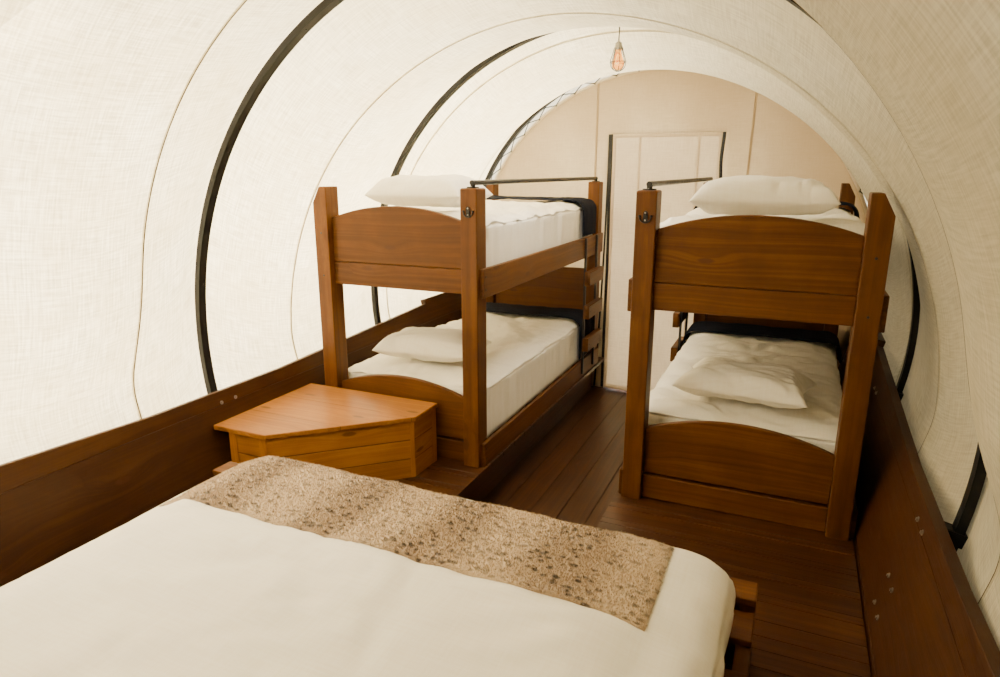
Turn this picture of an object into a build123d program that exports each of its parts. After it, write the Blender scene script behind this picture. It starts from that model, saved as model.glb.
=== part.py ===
from build123d import *
import math
import os

os.makedirs("parts", exist_ok=True)

# Covered wagon body with built-in beds, in millimetres.
# X runs right across the wagon, Y forward to the end with the door, Z up from the ground.
# The origin is under the middle of the box, at the underside of the long sills.

# Sills and floor
box_length = 5400
floor_half_width = 1163
long_sill_w = 89
long_sill_h = 140
long_sill_x = 450
cross_sill_w = 89
cross_sill_h = 89
cross_sill_count = 7
cross_sill_end = 60
bolster_bolt_d = 18
bolster_bolt_pitch = 200
bolster_sill = 2
deck_t = 38
platform_rise = 254
platform_t = 25
platform_gap = 1
join_gap = 0.3
aisle_half_width = 311
aisle_end_run = 200
riser_setback = 90
riser_t = 19
joist_t = 38
joist_count = 6
plank_pitch = 140
groove_w = 4
groove_d = 3

# Flared sides: three planks, the top one with a sheer and a notch at each end
flare = 13.8
board_t = 38
foot_plank_h = 300
wide_plank_h = 360
top_plank_low = 62
top_plank_high = 123
top_plank_notch = 154
sheer_flat_y = 370
sheer_notch_run = 910
end_board_h = 660

# Bows and cover
bow_count = 5
bow_end_gap = 60
bow_w = 38
bow_t = 25
bow_crown_z = 2597
bow_leg_z = 560
bow_standoff = 38
clamp_heights = (890, 690, 590)
clamp_h = 40
clamp_t = 5
clamp_flange = 28
clamp_play = 3
spacer_w = 38
fabric_gap = 0.3
fabric_t = 4
cover_sag = 155
cover_side_gap = 27
cover_shoulder = 45
cover_bow_run = 4
cover_strips = 4
cover_hem_z = 600
cover_band = 8
lace_gap = 35
lace_w = 6
lace_t = 3
lace_turns = 28
lace_hole = 12
wall_side_gap = 8
wall_hem = 12

# Door at the far end
door_left_x = -325
door_right_x = 425
door_top_z = 2126
flap_gap = 6
zip_w = 22
zip_t = 4

# Bunk beds
bunk_length = 2000
bunk_end_gap = 120
bunk_aisle_x = 340
bunk_wall_gap = 23
post_w = 80
post_d = 95
post_h = 1287
post_round = 8
post_cut_x = 40
post_cut_z = 75
rail_t = 20
rail_h = 132
rail_inset = 25
upper_rail_drop = 479
lower_rail_top = 116
panel_t = 28
cross_t = 34
ledger_w = 30
ledger_h = 30
slat_w = 90
slat_t = 19
slat_count = 9
slat_lift = 42
lower_slat_h = 50
upper_bedding_t = 311
lower_bedding_t = 336
bedding_gap = 3
bedding_round = 60
pillow_w = 570
pillow_d = 380
pillow_t = 125
pillow_inset = 70
pillow_round = 60
pillow_edge = 40
throw_t = 8
throw_w = 290
throw_wall_drop = 60
throw_foot_gap = 70
rung_w = 38
rung_h = 90
rung_length = 320
rung_round = 4
rung_heights = (196, 416, 636)
ladder_end_gap = 330
ladder_bar = 14
ladder_width = 250
ladder_foot = 30
guard_d = 22
guard_h = 22
flange_d = 54
flange_t = 5
hook_drop = 99
hook_plate_w = 16
hook_plate_h = 44
hook_r = 22
hook_d = 6

# Near bed
bed_wall_gap = 10
bed_width = 2141
bed_near_gap = 140
bed_table_gap = 180
bed_board_h = 237
bed_side_h = 200
bed_cap_w = 89
bed_cap_t = 19
bed_slat_w = 120
bed_slat_count = 9
bed_bedding_h = 245
bed_bedding_right = 41
bed_bedding_left = 10
bed_bedding_far = 145
bed_bedding_near = 92
bed_corner = 120
bed_round = 60
runner_w = 350
runner_length = 1560
runner_shift = 85
runner_round = 25
runner_t = 12

# Corner table
table_run = 640
table_width = 675
table_cut_w = 461
table_cut_run = 440
table_wall_gap = 7
table_h = 296
table_top_t = 22
table_overhang = 14
table_wall_t = 19
table_planks = 3

# Pendant lamp
lamp_x = 40
lamp_bow = 4
lamp_cord_d = 6
lamp_cord_length = 95
socket_d = 36
socket_h = 42
socket_edge = 7
bulb_neck_d = 26
bulb_d = 58
bulb_tip_d = 22
bulb_h = 92
bulb_mid_h = 30
bulb_tip_h = 10

# Heights and slopes that follow from the sizes above
lean = math.radians(flare)
deck_z = long_sill_h + cross_sill_h
floor_z = deck_z + deck_t
platform_z = floor_z + platform_rise
bow_pitch = (box_length - 2 * bow_end_gap) / (bow_count - 1)
bow_ys = [(i - (bow_count - 1) / 2) * bow_pitch for i in range(bow_count)]
end_board_y = box_length / 2 - board_t
end_wall_y = bow_ys[-1]
platform_far_y = end_wall_y - fabric_t - wall_side_gap
board_foot = board_t * math.tan(lean)
seam_s = board_foot + foot_plank_h + wide_plank_h
outer_x = floor_half_width + board_t * math.cos(lean)
outer_z = deck_z - board_t * math.sin(lean)
board_top_z = deck_z + (seam_s + top_plank_notch) * math.cos(lean)
wall_x = floor_half_width + (platform_z - deck_z) * math.tan(lean)

# Where the furniture stands, one piece after the other from the door to the near end
bunk_far_y = end_wall_y - bunk_end_gap
bunk_near_y = bunk_far_y - bunk_length
bunk_wall_x = wall_x - bunk_wall_gap
table_near_y = bunk_near_y - table_run
bed_far_y = table_near_y - bed_table_gap
bed_near_y = bed_near_gap - end_wall_y
bed_left_x = bed_wall_gap - wall_x
bed_right_x = bed_left_x + bed_width
aisle_near_y = bed_far_y + aisle_end_run


# Inside face of the right side board: local x is along the wagon, local y is up the slope
side_face = Plane(
    origin=(floor_half_width, 0, deck_z),
    x_dir=(0, 1, 0),
    z_dir=(math.cos(lean), 0, -math.sin(lean)),
)


def board_x(z):
    """Inside face of the side board at a height."""
    return floor_half_width + (z - deck_z) * math.tan(lean)


def hoop(standoff, crown):
    """Radius and centre height of a hoop whose legs stand off the side boards by a distance."""
    radius = (
        standoff
        + outer_x * math.cos(lean)
        + (crown - outer_z) * math.sin(lean)
    ) / (1 + math.sin(lean))
    return radius, crown - radius


def hoop_points(standoff, crown, foot_z):
    """Right foot and right spring point of a hoop."""
    radius, centre_z = hoop(standoff, crown)
    spring = (radius * math.cos(lean), centre_z - radius * math.sin(lean))
    foot = (spring[0] - (spring[1] - foot_z) * math.tan(lean), foot_z)
    return foot, spring


def skin_corner(radius, standoff):
    """Right end of the crown arc, and where its tangent would meet the line of the side."""
    turn = math.radians(cover_shoulder)
    end = (radius * math.cos(turn), bow_centre_z + radius * math.sin(turn))
    foot_x = outer_x + standoff / math.cos(lean)
    level = end[0] + end[1] * math.tan(turn) - foot_x + outer_z * math.tan(lean)
    corner_z = level / (math.tan(lean) + math.tan(turn))
    return end, (foot_x + (corner_z - outer_z) * math.tan(lean), corner_z)


def skin_points(radius, standoff, run):
    """Right half of a skin line: crown arc, straight run, bend, then down the side to the hem."""
    turn = math.radians(cover_shoulder)
    crown_end, corner = skin_corner(radius, standoff)
    bend_r = (math.dist(corner, crown_end) - run) / math.tan((turn + lean) / 2)
    bend_end = (
        crown_end[0] + run * math.sin(turn),
        crown_end[1] - run * math.cos(turn),
    )
    bend_centre = (
        bend_end[0] - bend_r * math.cos(turn),
        bend_end[1] - bend_r * math.sin(turn),
    )
    spring = (
        bend_centre[0] + bend_r * math.cos(lean),
        bend_centre[1] - bend_r * math.sin(lean),
    )
    hem = (spring[0] - (spring[1] - cover_hem_z) * math.tan(lean), cover_hem_z)
    return crown_end, bend_end, bend_centre, bend_r, spring, hem


def skin_face(radius, standoff, run, y):
    """Cross-section of the cover at a station along the wagon."""
    with BuildSketch(Plane.XZ.offset(-y)) as section:
        with BuildLine():
            for step in (0, fabric_t):
                crown_end, bend_end, centre, bend_r, spring, hem = skin_points(
                    radius + step, standoff + step, run
                )
                CenterArc(
                    (0, bow_centre_z),
                    radius + step,
                    cover_shoulder,
                    180 - 2 * cover_shoulder,
                )
                for side in (-1, 1):
                    Line((side * crown_end[0], crown_end[1]), (side * bend_end[0], bend_end[1]))
                    Line((side * spring[0], spring[1]), (side * hem[0], hem[1]))
                CenterArc(centre, bend_r, -flare, flare + cover_shoulder)
                CenterArc((-centre[0], centre[1]), bend_r, 180 - cover_shoulder, flare + cover_shoulder)
            inner_hem = skin_points(radius, standoff, run)[-1]
            for side in (-1, 1):
                Line((side * inner_hem[0], inner_hem[1]), (side * hem[0], hem[1]))
        make_face()
    return section.sketch


def save(part, label):
    """Label a piece and write it to its file."""
    part.label = label
    export_step(part, f"parts/{label}.step")


# Long sills on the ground, bored for the bolster bolts each side of a cross sill
cross_sill_length = 2 * (outer_x + cross_sill_end)
cross_sill_pitch = (box_length - cross_sill_w) / (cross_sill_count - 1)
bolster_y = bolster_sill * cross_sill_pitch
with BuildPart() as long_sills:
    with BuildSketch():
        with Locations((-long_sill_x, 0), (long_sill_x, 0)):
            Rectangle(long_sill_w, box_length)
    extrude(amount=long_sill_h)
    chamfer(long_sills.edges().filter_by(Axis.X).group_by(Axis.Z)[0], long_sill_h / 3)
    for end_y in (-bolster_y, bolster_y):
        with Locations((0, end_y, long_sill_h)):
            with GridLocations(2 * long_sill_x, bolster_bolt_pitch, 2, 2):
                Hole(bolster_bolt_d / 2)
save(long_sills.part, "long_sills")

# Cross sills over them, deck planks over those
with BuildPart() as cross_sills:
    with BuildSketch(Plane.XY.offset(long_sill_h)):
        with GridLocations(0, cross_sill_pitch, 1, cross_sill_count):
            Rectangle(cross_sill_length, cross_sill_w)
    extrude(amount=cross_sill_h)
save(cross_sills.part, "cross_sills")

deck_length = 2 * end_board_y
aisle_grooves = int(2 * aisle_half_width / plank_pitch) + 1
with BuildPart() as floor_deck:
    with BuildSketch(Plane.XY.offset(deck_z)):
        Rectangle(2 * floor_half_width, deck_length)
    extrude(amount=deck_t)
    with BuildSketch(Plane.XY.offset(floor_z)):
        with Locations((0, (aisle_near_y + end_board_y) / 2)):
            with GridLocations(plank_pitch, 0, aisle_grooves, 1):
                Rectangle(groove_w, end_board_y - aisle_near_y)
    extrude(amount=-groove_d, mode=Mode.SUBTRACT)
save(floor_deck.part, "floor_deck")

# Raised platforms left and right of the sunken aisle and under the near bed
platform_side_x = board_x(platform_z - platform_t) - platform_gap
platform_mid_x = (platform_side_x + aisle_half_width) / 2
platform_near_y = -platform_far_y
side_run = platform_far_y - aisle_near_y
rear_run = aisle_near_y - platform_near_y
side_grooves = int(side_run / plank_pitch)
rear_grooves = int(rear_run / plank_pitch)
with BuildPart() as platforms:
    for side in (-1, 1):
        with BuildSketch(Plane.XY.offset(platform_z)):
            with Locations((side * platform_mid_x, (platform_far_y + aisle_near_y) / 2)):
                Rectangle(platform_side_x - aisle_half_width, side_run - platform_gap)
        extrude(amount=-platform_t)
    with BuildSketch(Plane.XY.offset(platform_z)):
        with Locations((0, (platform_near_y + aisle_near_y) / 2)):
            Rectangle(2 * platform_side_x, rear_run)
    extrude(amount=-platform_t)
    with BuildSketch(Plane.XY.offset(platform_z)):
        with Locations((0, aisle_near_y + side_run / 2)):
            with GridLocations(0, plank_pitch, 1, side_grooves):
                Rectangle(2 * platform_side_x, groove_w)
        with Locations((0, aisle_near_y - rear_run / 2)):
            with GridLocations(0, plank_pitch, 1, rear_grooves):
                Rectangle(2 * platform_side_x, groove_w)
    extrude(amount=-groove_d, mode=Mode.SUBTRACT)
save(platforms.part, "platforms")

riser_x = aisle_half_width + riser_setback
riser_h = platform_rise - platform_t
rear_riser_y = aisle_near_y - riser_setback
riser_run = platform_far_y - rear_riser_y - join_gap
side_joist_pitch = side_run / joist_count
side_joist_length = floor_half_width - riser_x - riser_t - 2 * join_gap
rear_joist_run = rear_riser_y - riser_t - platform_near_y
with BuildPart() as platform_framing:
    with BuildSketch(Plane.XY.offset(floor_z)):
        for side in (-1, 1):
            with Locations((side * (riser_x + riser_t / 2), platform_far_y - riser_run / 2)):
                Rectangle(riser_t, riser_run)
            joist_mid_x = riser_x + riser_t + join_gap + side_joist_length / 2
            with Locations((side * joist_mid_x, aisle_near_y + side_run / 2)):
                with GridLocations(0, side_joist_pitch, 1, joist_count):
                    Rectangle(side_joist_length, joist_t)
        with Locations((0, rear_riser_y - riser_t / 2)):
            Rectangle(2 * (riser_x + riser_t), riser_t)
        with Locations((0, platform_near_y + rear_joist_run / 2)):
            with GridLocations(0, rear_joist_run / joist_count, 1, joist_count):
                Rectangle(2 * (floor_half_width - join_gap), joist_t)
    extrude(amount=riser_h)
save(platform_framing.part, "platform_framing")

# Side boards: wide planks up the slope, then the top plank with its sheer
sheer_end_y = box_length / 2 - sheer_notch_run
top_outline = [
    (-box_length / 2, seam_s),
    (box_length / 2, seam_s),
    (box_length / 2, seam_s + top_plank_notch),
    (sheer_end_y, seam_s + top_plank_notch),
    (sheer_end_y, seam_s + top_plank_high),
    (sheer_flat_y, seam_s + top_plank_low),
    (-sheer_flat_y, seam_s + top_plank_low),
    (-sheer_end_y, seam_s + top_plank_high),
    (-sheer_end_y, seam_s + top_plank_notch),
    (-box_length / 2, seam_s + top_plank_notch),
]
with BuildPart() as right_planks:
    with BuildSketch(side_face):
        with Locations((0, board_foot + foot_plank_h / 2)):
            Rectangle(box_length, foot_plank_h)
        with Locations((0, board_foot + foot_plank_h + wide_plank_h / 2)):
            Rectangle(box_length, wide_plank_h)
    extrude(amount=board_t)
    with BuildSketch(side_face):
        with Locations((0, board_foot + foot_plank_h)):
            Rectangle(box_length, groove_w)
    extrude(amount=groove_d, mode=Mode.SUBTRACT)
save(right_planks.part, "right_side_planks")

with BuildPart() as left_planks:
    add(mirror(right_planks.part, about=Plane.YZ))
save(left_planks.part, "left_side_planks")

with BuildPart() as right_top_plank:
    with BuildSketch(side_face):
        with BuildLine():
            Polyline(*top_outline, close=True)
        make_face()
    extrude(amount=board_t)
save(right_top_plank.part, "right_top_plank")

with BuildPart() as left_top_plank:
    add(mirror(right_top_plank.part, about=Plane.YZ))
save(left_top_plank.part, "left_top_plank")

# End boards between the side boards, parted by the door at the far end
end_board_top = deck_z + end_board_h
end_profile = [
    (-board_x(deck_z) + platform_gap, deck_z),
    (board_x(deck_z) - platform_gap, deck_z),
    (board_x(end_board_top) - platform_gap, end_board_top),
    (-board_x(end_board_top) + platform_gap, end_board_top),
]
with BuildPart() as near_end_boards:
    with BuildSketch(Plane.XZ.offset(end_board_y)):
        with BuildLine():
            Polyline(*end_profile, close=True)
        make_face()
    extrude(amount=board_t)
save(near_end_boards.part, "near_end_boards")

with BuildPart() as far_end_boards:
    with BuildSketch(Plane.XZ.offset(-end_board_y)):
        with BuildLine():
            Polyline(*end_profile, close=True)
        make_face()
        with Locations(((door_left_x + door_right_x) / 2, (floor_z + end_board_top) / 2)):
            Rectangle(door_right_x - door_left_x, end_board_top - floor_z, mode=Mode.SUBTRACT)
    extrude(amount=-board_t)
save(far_end_boards.part, "far_end_boards")

# Steel bows: flat-sided hoops whose legs run down outside the side boards
bow_radius, bow_centre_z = hoop(bow_standoff + bow_t / 2, bow_crown_z)
bow_foot, bow_spring = hoop_points(bow_standoff + bow_t / 2, bow_crown_z, bow_leg_z)
for number, bow_y in enumerate(bow_ys, start=1):
    with BuildPart() as bow:
        with BuildSketch(Plane.XZ.offset(-bow_y)):
            with BuildLine():
                Line(bow_foot, bow_spring)
                CenterArc((0, bow_centre_z), bow_radius, -flare, 180 + 2 * flare)
                Line((-bow_spring[0], bow_spring[1]), (-bow_foot[0], bow_foot[1]))
            trace(line_width=bow_t)
        extrude(amount=bow_w / 2, both=True)
    save(bow.part, f"bow_{number}")

# Clamps: a spacer block behind each leg and a strap over it, screwed to the side board
strap_in = bow_w / 2 + clamp_play
strap_out = strap_in + clamp_t
with BuildPart() as bow_clamps:
    for bow_y in bow_ys:
        for clamp_z in clamp_heights:
            clamp_plane = Plane(
                origin=(outer_x + (clamp_z - outer_z) * math.tan(lean), bow_y, clamp_z),
                x_dir=(0, 1, 0),
                z_dir=(math.sin(lean), 0, math.cos(lean)),
            )
            curved_run = max(0, clamp_z + clamp_h / 2 - bow_spring[1]) / math.cos(lean)
            bow_in = bow_radius - math.sqrt(bow_radius**2 - curved_run**2)
            spacer_t = bow_standoff - bow_in - fabric_gap
            strap_deep = bow_standoff + bow_t + clamp_play - bow_in
            with BuildSketch(clamp_plane):
                with Locations((0, -(strap_deep + clamp_t) / 2)):
                    Rectangle(2 * strap_out, strap_deep + clamp_t)
                with Locations((0, -clamp_t / 2)):
                    Rectangle(2 * (strap_out + clamp_flange), clamp_t)
                with Locations((0, -strap_deep / 2)):
                    Rectangle(2 * strap_in, strap_deep, mode=Mode.SUBTRACT)
                with Locations((0, -spacer_t / 2)):
                    Rectangle(spacer_w, spacer_t)
            extrude(amount=clamp_h / 2, both=True)
    mirror(about=Plane.YZ)
save(bow_clamps.part, "bow_clamps")

# Cover: a flat band over each bow and a bay that sags between each pair of bows
bow_skin = bow_standoff + bow_t + clamp_play + clamp_t + fabric_gap
bow_skin_r = bow_radius + bow_t / 2 + fabric_gap
sag_end, sag_corner = skin_corner(bow_skin_r - cover_sag, cover_side_gap)
sag_run = math.dist(sag_corner, sag_end) - (sag_corner[1] - board_top_z) / math.cos(lean)
band_half = bow_w / 2 + cover_band
with BuildPart() as cover:
    for bow_y in bow_ys:
        extrude(skin_face(bow_skin_r, bow_skin, cover_bow_run, bow_y), amount=band_half, both=True)
    for start_y, end_y in zip(bow_ys[:-1], bow_ys[1:]):
        stations = []
        for strip in range(cover_strips + 1):
            part_way = strip / cover_strips
            sagged = 4 * part_way * (1 - part_way)
            stations.append(
                skin_face(
                    bow_skin_r - sagged * cover_sag,
                    bow_skin + sagged * (cover_side_gap - bow_skin),
                    cover_bow_run + sagged * (sag_run - cover_bow_run),
                    start_y + band_half + part_way * (end_y - start_y - 2 * band_half),
                )
            )
        loft(stations, ruled=True)
save(cover.part, "cover")

# End walls: canvas laced inside the last bow, dropping inside the box to the floor
wall_radius = bow_radius - bow_t / 2 - lace_gap
wall_shoulder_z = board_top_z + wall_side_gap
shoulder_x = math.sqrt(wall_radius**2 - (wall_shoulder_z - bow_centre_z) ** 2)
wall_foot_z = floor_z + wall_hem
with BuildPart() as near_end_wall:
    with BuildSketch(Plane.XZ.offset(end_wall_y)):
        with BuildLine():
            ThreePointArc(
                (shoulder_x, wall_shoulder_z),
                (0, bow_centre_z + wall_radius),
                (-shoulder_x, wall_shoulder_z),
            )
            Polyline(
                (-shoulder_x, wall_shoulder_z),
                (-board_x(wall_shoulder_z) + wall_side_gap, wall_shoulder_z),
                (-board_x(wall_foot_z) + wall_side_gap, wall_foot_z),
                (board_x(wall_foot_z) - wall_side_gap, wall_foot_z),
                (board_x(wall_shoulder_z) - wall_side_gap, wall_shoulder_z),
                (shoulder_x, wall_shoulder_z),
            )
        make_face()
    extrude(amount=fabric_t / 2, both=True)
save(near_end_wall.part, "near_end_wall")

door_width = door_right_x - door_left_x
door_x = (door_left_x + door_right_x) / 2
with BuildPart() as far_end_wall:
    add(mirror(near_end_wall.part, about=Plane.XZ))
    with BuildSketch(Plane.XZ.offset(-end_wall_y)):
        with Locations((door_x, (door_top_z + wall_foot_z - wall_hem) / 2)):
            Rectangle(door_width, door_top_z - wall_foot_z + wall_hem)
    extrude(amount=fabric_t, both=True, mode=Mode.SUBTRACT)
save(far_end_wall.part, "far_end_wall")

# Lacing: one cord at each end that zigzags between holes in the wall's edge and the bow
lace_in = wall_radius - lace_hole
lace_out = bow_radius - bow_t / 2 - 2 * fabric_gap - lace_w / 2
lace_step = 180 / (2 * lace_turns)
lace_points = []
for turn in range(2 * lace_turns + 1):
    lace_r = lace_out if turn % 2 else lace_in
    lace_angle = math.radians(turn * lace_step)
    lace_points.append(
        (lace_r * math.cos(lace_angle), bow_centre_z + lace_r * math.sin(lace_angle))
    )
lace_y = end_wall_y - fabric_t / 2 - fabric_gap
with BuildPart() as end_lacing:
    with BuildSketch(Plane.XZ.offset(-lace_y)):
        with BuildLine():
            Polyline(*lace_points)
        trace(line_width=lace_w)
    extrude(amount=lace_t)
    mirror(about=Plane.XZ)
save(end_lacing.part, "end_lacing")

# Door flap with a zip strip down each side, on the inside of the wall
flap_top_z = door_top_z - fabric_gap
zip_y = end_wall_y - fabric_t / 2 - fabric_gap
with BuildPart() as door_flap:
    with BuildSketch(Plane.XZ.offset(-end_wall_y)):
        with Locations((door_x, (flap_top_z + wall_foot_z) / 2)):
            Rectangle(door_width - 2 * flap_gap, flap_top_z - wall_foot_z)
    extrude(amount=fabric_t / 2, both=True)
save(door_flap.part, "door_flap")

with BuildPart() as door_zips:
    with BuildSketch(Plane.XZ.offset(-zip_y)):
        with Locations((door_x, (door_top_z + wall_foot_z) / 2)):
            with GridLocations(door_width, 0, 2, 1):
                Rectangle(zip_w, door_top_z - wall_foot_z)
    extrude(amount=zip_t)
save(door_zips.part, "door_zips")

# Bunk beds: the left one is drawn at negative X, the right one at positive X
near_post_y = bunk_near_y + post_d / 2
far_post_y = bunk_far_y - post_d / 2
panel_span = bunk_wall_x - bunk_aisle_x - 2 * post_w
panel_mid_x = (bunk_wall_x + bunk_aisle_x) / 2
bay_near_y = bunk_near_y + post_d
bay_far_y = bunk_far_y - post_d
slat_pitch = (bay_far_y - bay_near_y - slat_w) / (slat_count - 1)
post_top_z = platform_z + post_h
upper_rail_h = post_h - upper_rail_drop
bedding_half = (bunk_wall_x - bunk_aisle_x) / 2 - bedding_gap
bedding_length = bay_far_y - bay_near_y - 2 * bedding_gap
bay_mid_y = (bay_near_y + bay_far_y) / 2
ladder_y = bunk_far_y - ladder_end_gap

# name, end, thickness, level that the heights count from, bottom, height at the posts, height at the middle
end_panels = (
    ("upper head", "near", panel_t, upper_rail_h, 124, 332, 394),
    ("upper cross rail", "near", cross_t, upper_rail_h, 13, 122, 122),
    ("lower head", "near", panel_t, 0, 118, 318, 386),
    ("lower cross rail", "near", panel_t, 0, 2, 104, 104),
    ("upper foot rail", "far", cross_t, upper_rail_h, 13, 132, 132),
    ("lower foot", "far", panel_t, 0, 300, 686, 686),
    ("lower foot rail", "far", cross_t, 0, 2, 104, 104),
)
# name, underside and top of the rail, underside of the slats, above the platform
side_rails = (
    ("upper", upper_rail_h, upper_rail_h + rail_h, upper_rail_h + slat_lift),
    ("lower", 0, lower_rail_top, lower_slat_h),
)
# name, top of the slats above the platform, thickness, lowest drop of the throw
beddings = (
    ("upper", upper_rail_h + slat_lift + slat_t, upper_bedding_t, upper_rail_h + rail_h + bedding_gap),
    ("lower", lower_slat_h + slat_t, lower_bedding_t, lower_rail_top + bedding_gap),
)

for side_name, side in (("left", -1), ("right", 1)):
    with BuildPart() as posts:
        with BuildSketch(Plane.XY.offset(platform_z)):
            with Locations((side * (bunk_aisle_x + post_w / 2), 0)):
                with Locations((0, near_post_y), (0, far_post_y)):
                    Rectangle(post_w, post_d)
        extrude(amount=post_h)
        fillet(posts.edges().group_by(Axis.Z)[-1], post_round)
        for post_y in (near_post_y, far_post_y):
            with BuildSketch(Plane.XZ.offset(-post_y)):
                with BuildLine():
                    Polyline(
                        (side * (bunk_wall_x - post_w), platform_z),
                        (side * bunk_wall_x, platform_z),
                        (side * bunk_wall_x, post_top_z - post_cut_z),
                        (side * (bunk_wall_x - post_cut_x), post_top_z),
                        (side * (bunk_wall_x - post_w), post_top_z),
                        close=True,
                    )
                make_face()
            extrude(amount=post_d / 2, both=True)
    save(posts.part, f"{side_name}_bunk_posts")

    with BuildPart() as panels:
        for panel_name, end, thick, base, low, high, crown in end_panels:
            face_y = near_post_y if end == "near" else far_post_y
            level = platform_z + base
            with BuildSketch(Plane.XZ.offset(-face_y)):
                with BuildLine():
                    x_in = side * panel_mid_x - panel_span / 2
                    x_out = side * panel_mid_x + panel_span / 2
                    Polyline(
                        (x_in, level + high),
                        (x_in, level + low),
                        (x_out, level + low),
                        (x_out, level + high),
                    )
                    if crown > high:
                        ThreePointArc(
                            (x_out, level + high),
                            (side * panel_mid_x, level + crown),
                            (x_in, level + high),
                        )
                    else:
                        Line((x_out, level + high), (x_in, level + high))
                make_face()
            extrude(amount=thick / 2, both=True)
    save(panels.part, f"{side_name}_bunk_ends")

    with BuildPart() as rails:
        for rail_name, low, high, slat_h in side_rails:
            for face_x, outward in ((bunk_aisle_x, -1), (bunk_wall_x, 1)):
                with BuildSketch(Plane.XY.offset(platform_z + low)):
                    with Locations((side * (face_x + outward * rail_t / 2), bay_mid_y)):
                        Rectangle(rail_t, bunk_length - 2 * rail_inset)
                extrude(amount=high - low)
    save(rails.part, f"{side_name}_bunk_rails")

    with BuildPart() as slats:
        for rail_name, low, high, slat_h in side_rails:
            with BuildSketch(Plane.XY.offset(platform_z + slat_h)):
                with Locations((side * panel_mid_x, bay_mid_y)):
                    with GridLocations(0, slat_pitch, 1, slat_count):
                        Rectangle(bunk_wall_x - bunk_aisle_x, slat_w)
            extrude(amount=slat_t)
            with BuildSketch(Plane.XY.offset(platform_z + slat_h)):
                with Locations((side * panel_mid_x, bay_mid_y)):
                    with GridLocations(bunk_wall_x - bunk_aisle_x - ledger_w, 0, 2, 1):
                        Rectangle(ledger_w, bay_far_y - bay_near_y)
            extrude(amount=-ledger_h)
    save(slats.part, f"{side_name}_bunk_slats")

    bar_x = bunk_aisle_x - rail_t - ladder_bar / 2
    rung_x = bar_x - ladder_bar / 2 - rung_w / 2
    with BuildPart() as rungs:
        for rung_z in rung_heights:
            with Locations((side * rung_x, ladder_y, platform_z + rung_z + rung_h / 2)):
                Box(rung_w, rung_length, rung_h)
        fillet(rungs.edges().filter_by(Axis.Y), rung_round)
    save(rungs.part, f"{side_name}_ladder_rungs")

    guard_z = post_top_z + guard_h
    hook_z = post_top_z - hook_drop
    post_x = bunk_aisle_x + post_w / 2
    bar_length = upper_rail_h + rail_h - ladder_foot
    with BuildPart() as ironwork:
        with BuildSketch(Plane.XY.offset(platform_z + ladder_foot)):
            with Locations((side * bar_x, ladder_y)):
                with GridLocations(0, ladder_width, 1, 2):
                    Rectangle(ladder_bar, ladder_bar)
        extrude(amount=bar_length)
        with BuildSketch(Plane.XY.offset(post_top_z)):
            with Locations((side * post_x, near_post_y), (side * post_x, far_post_y)):
                Circle(flange_d / 2)
        extrude(amount=flange_t)
        with BuildSketch(Plane.XY.offset(post_top_z)):
            with Locations((side * post_x, near_post_y), (side * post_x, far_post_y)):
                Circle(guard_d / 2)
        extrude(amount=guard_h)
        with BuildSketch(Plane.XZ.offset(-(near_post_y - guard_d / 2))):
            with Locations((side * post_x, guard_z)):
                Circle(guard_d / 2)
        extrude(amount=-(far_post_y - near_post_y + guard_d))
        with BuildSketch(Plane.XZ.offset(-bunk_near_y)):
            with Locations((side * post_x, hook_z)):
                SlotOverall(hook_plate_h, hook_plate_w, rotation=90)
        extrude(amount=hook_d)
        with BuildLine(Plane.XZ.offset(-(bunk_near_y - hook_d / 2))) as prong:
            CenterArc((side * post_x, hook_z), hook_r, 180, 180)
        with BuildSketch(Plane(origin=prong.line @ 0, z_dir=prong.line % 0)):
            Circle(hook_d / 2)
        sweep()
    save(ironwork.part, f"{side_name}_bunk_ironwork")

    for layer, low, thick, drop in beddings:
        with BuildPart() as bedding:
            with BuildSketch(Plane.XZ.offset(-bay_mid_y)) as bedding_end:
                with Locations((side * panel_mid_x, platform_z + low + fabric_gap + thick / 2)):
                    Rectangle(2 * bedding_half, thick)
                fillet(bedding_end.vertices().group_by(Axis.Y)[-1], bedding_round)
            extrude(amount=bedding_length / 2, both=True)
        save(bedding.part, f"{side_name}_{layer}_bedding")

    with BuildPart() as pillows:
        for layer, low, thick, drop in beddings:
            pillow_z = platform_z + low + thick + 2 * fabric_gap
            with BuildSketch(Plane.XY.offset(pillow_z)):
                with Locations((side * panel_mid_x, bay_near_y + pillow_inset + pillow_d / 2)):
                    RectangleRounded(pillow_w, pillow_d, pillow_round)
            extrude(amount=pillow_t)
        caps = pillows.faces().filter_by(Axis.Z)
        chamfer(caps.edges(), pillow_edge)
    save(pillows.part, f"{side_name}_bunk_pillows")

    with BuildPart() as throws:
        for layer, low, thick, drop in beddings:
            throw_r = bedding_round + fabric_gap + throw_t / 2
            skin = bedding_half + fabric_gap + throw_t / 2
            throw_top = platform_z + low + thick + 2 * fabric_gap + throw_t / 2
            aisle_side = side * (panel_mid_x - skin)
            wall_side = side * (panel_mid_x + skin)
            with BuildSketch(Plane.XZ.offset(-(bay_far_y - throw_foot_gap))):
                with BuildLine():
                    FilletPolyline(
                        (aisle_side, platform_z + drop),
                        (aisle_side, throw_top),
                        (wall_side, throw_top),
                        (wall_side, throw_top - throw_r - throw_wall_drop),
                        radius=throw_r,
                    )
                trace(line_width=throw_t)
            extrude(amount=throw_w)
    save(throws.part, f"{side_name}_bunk_throws")

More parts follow.
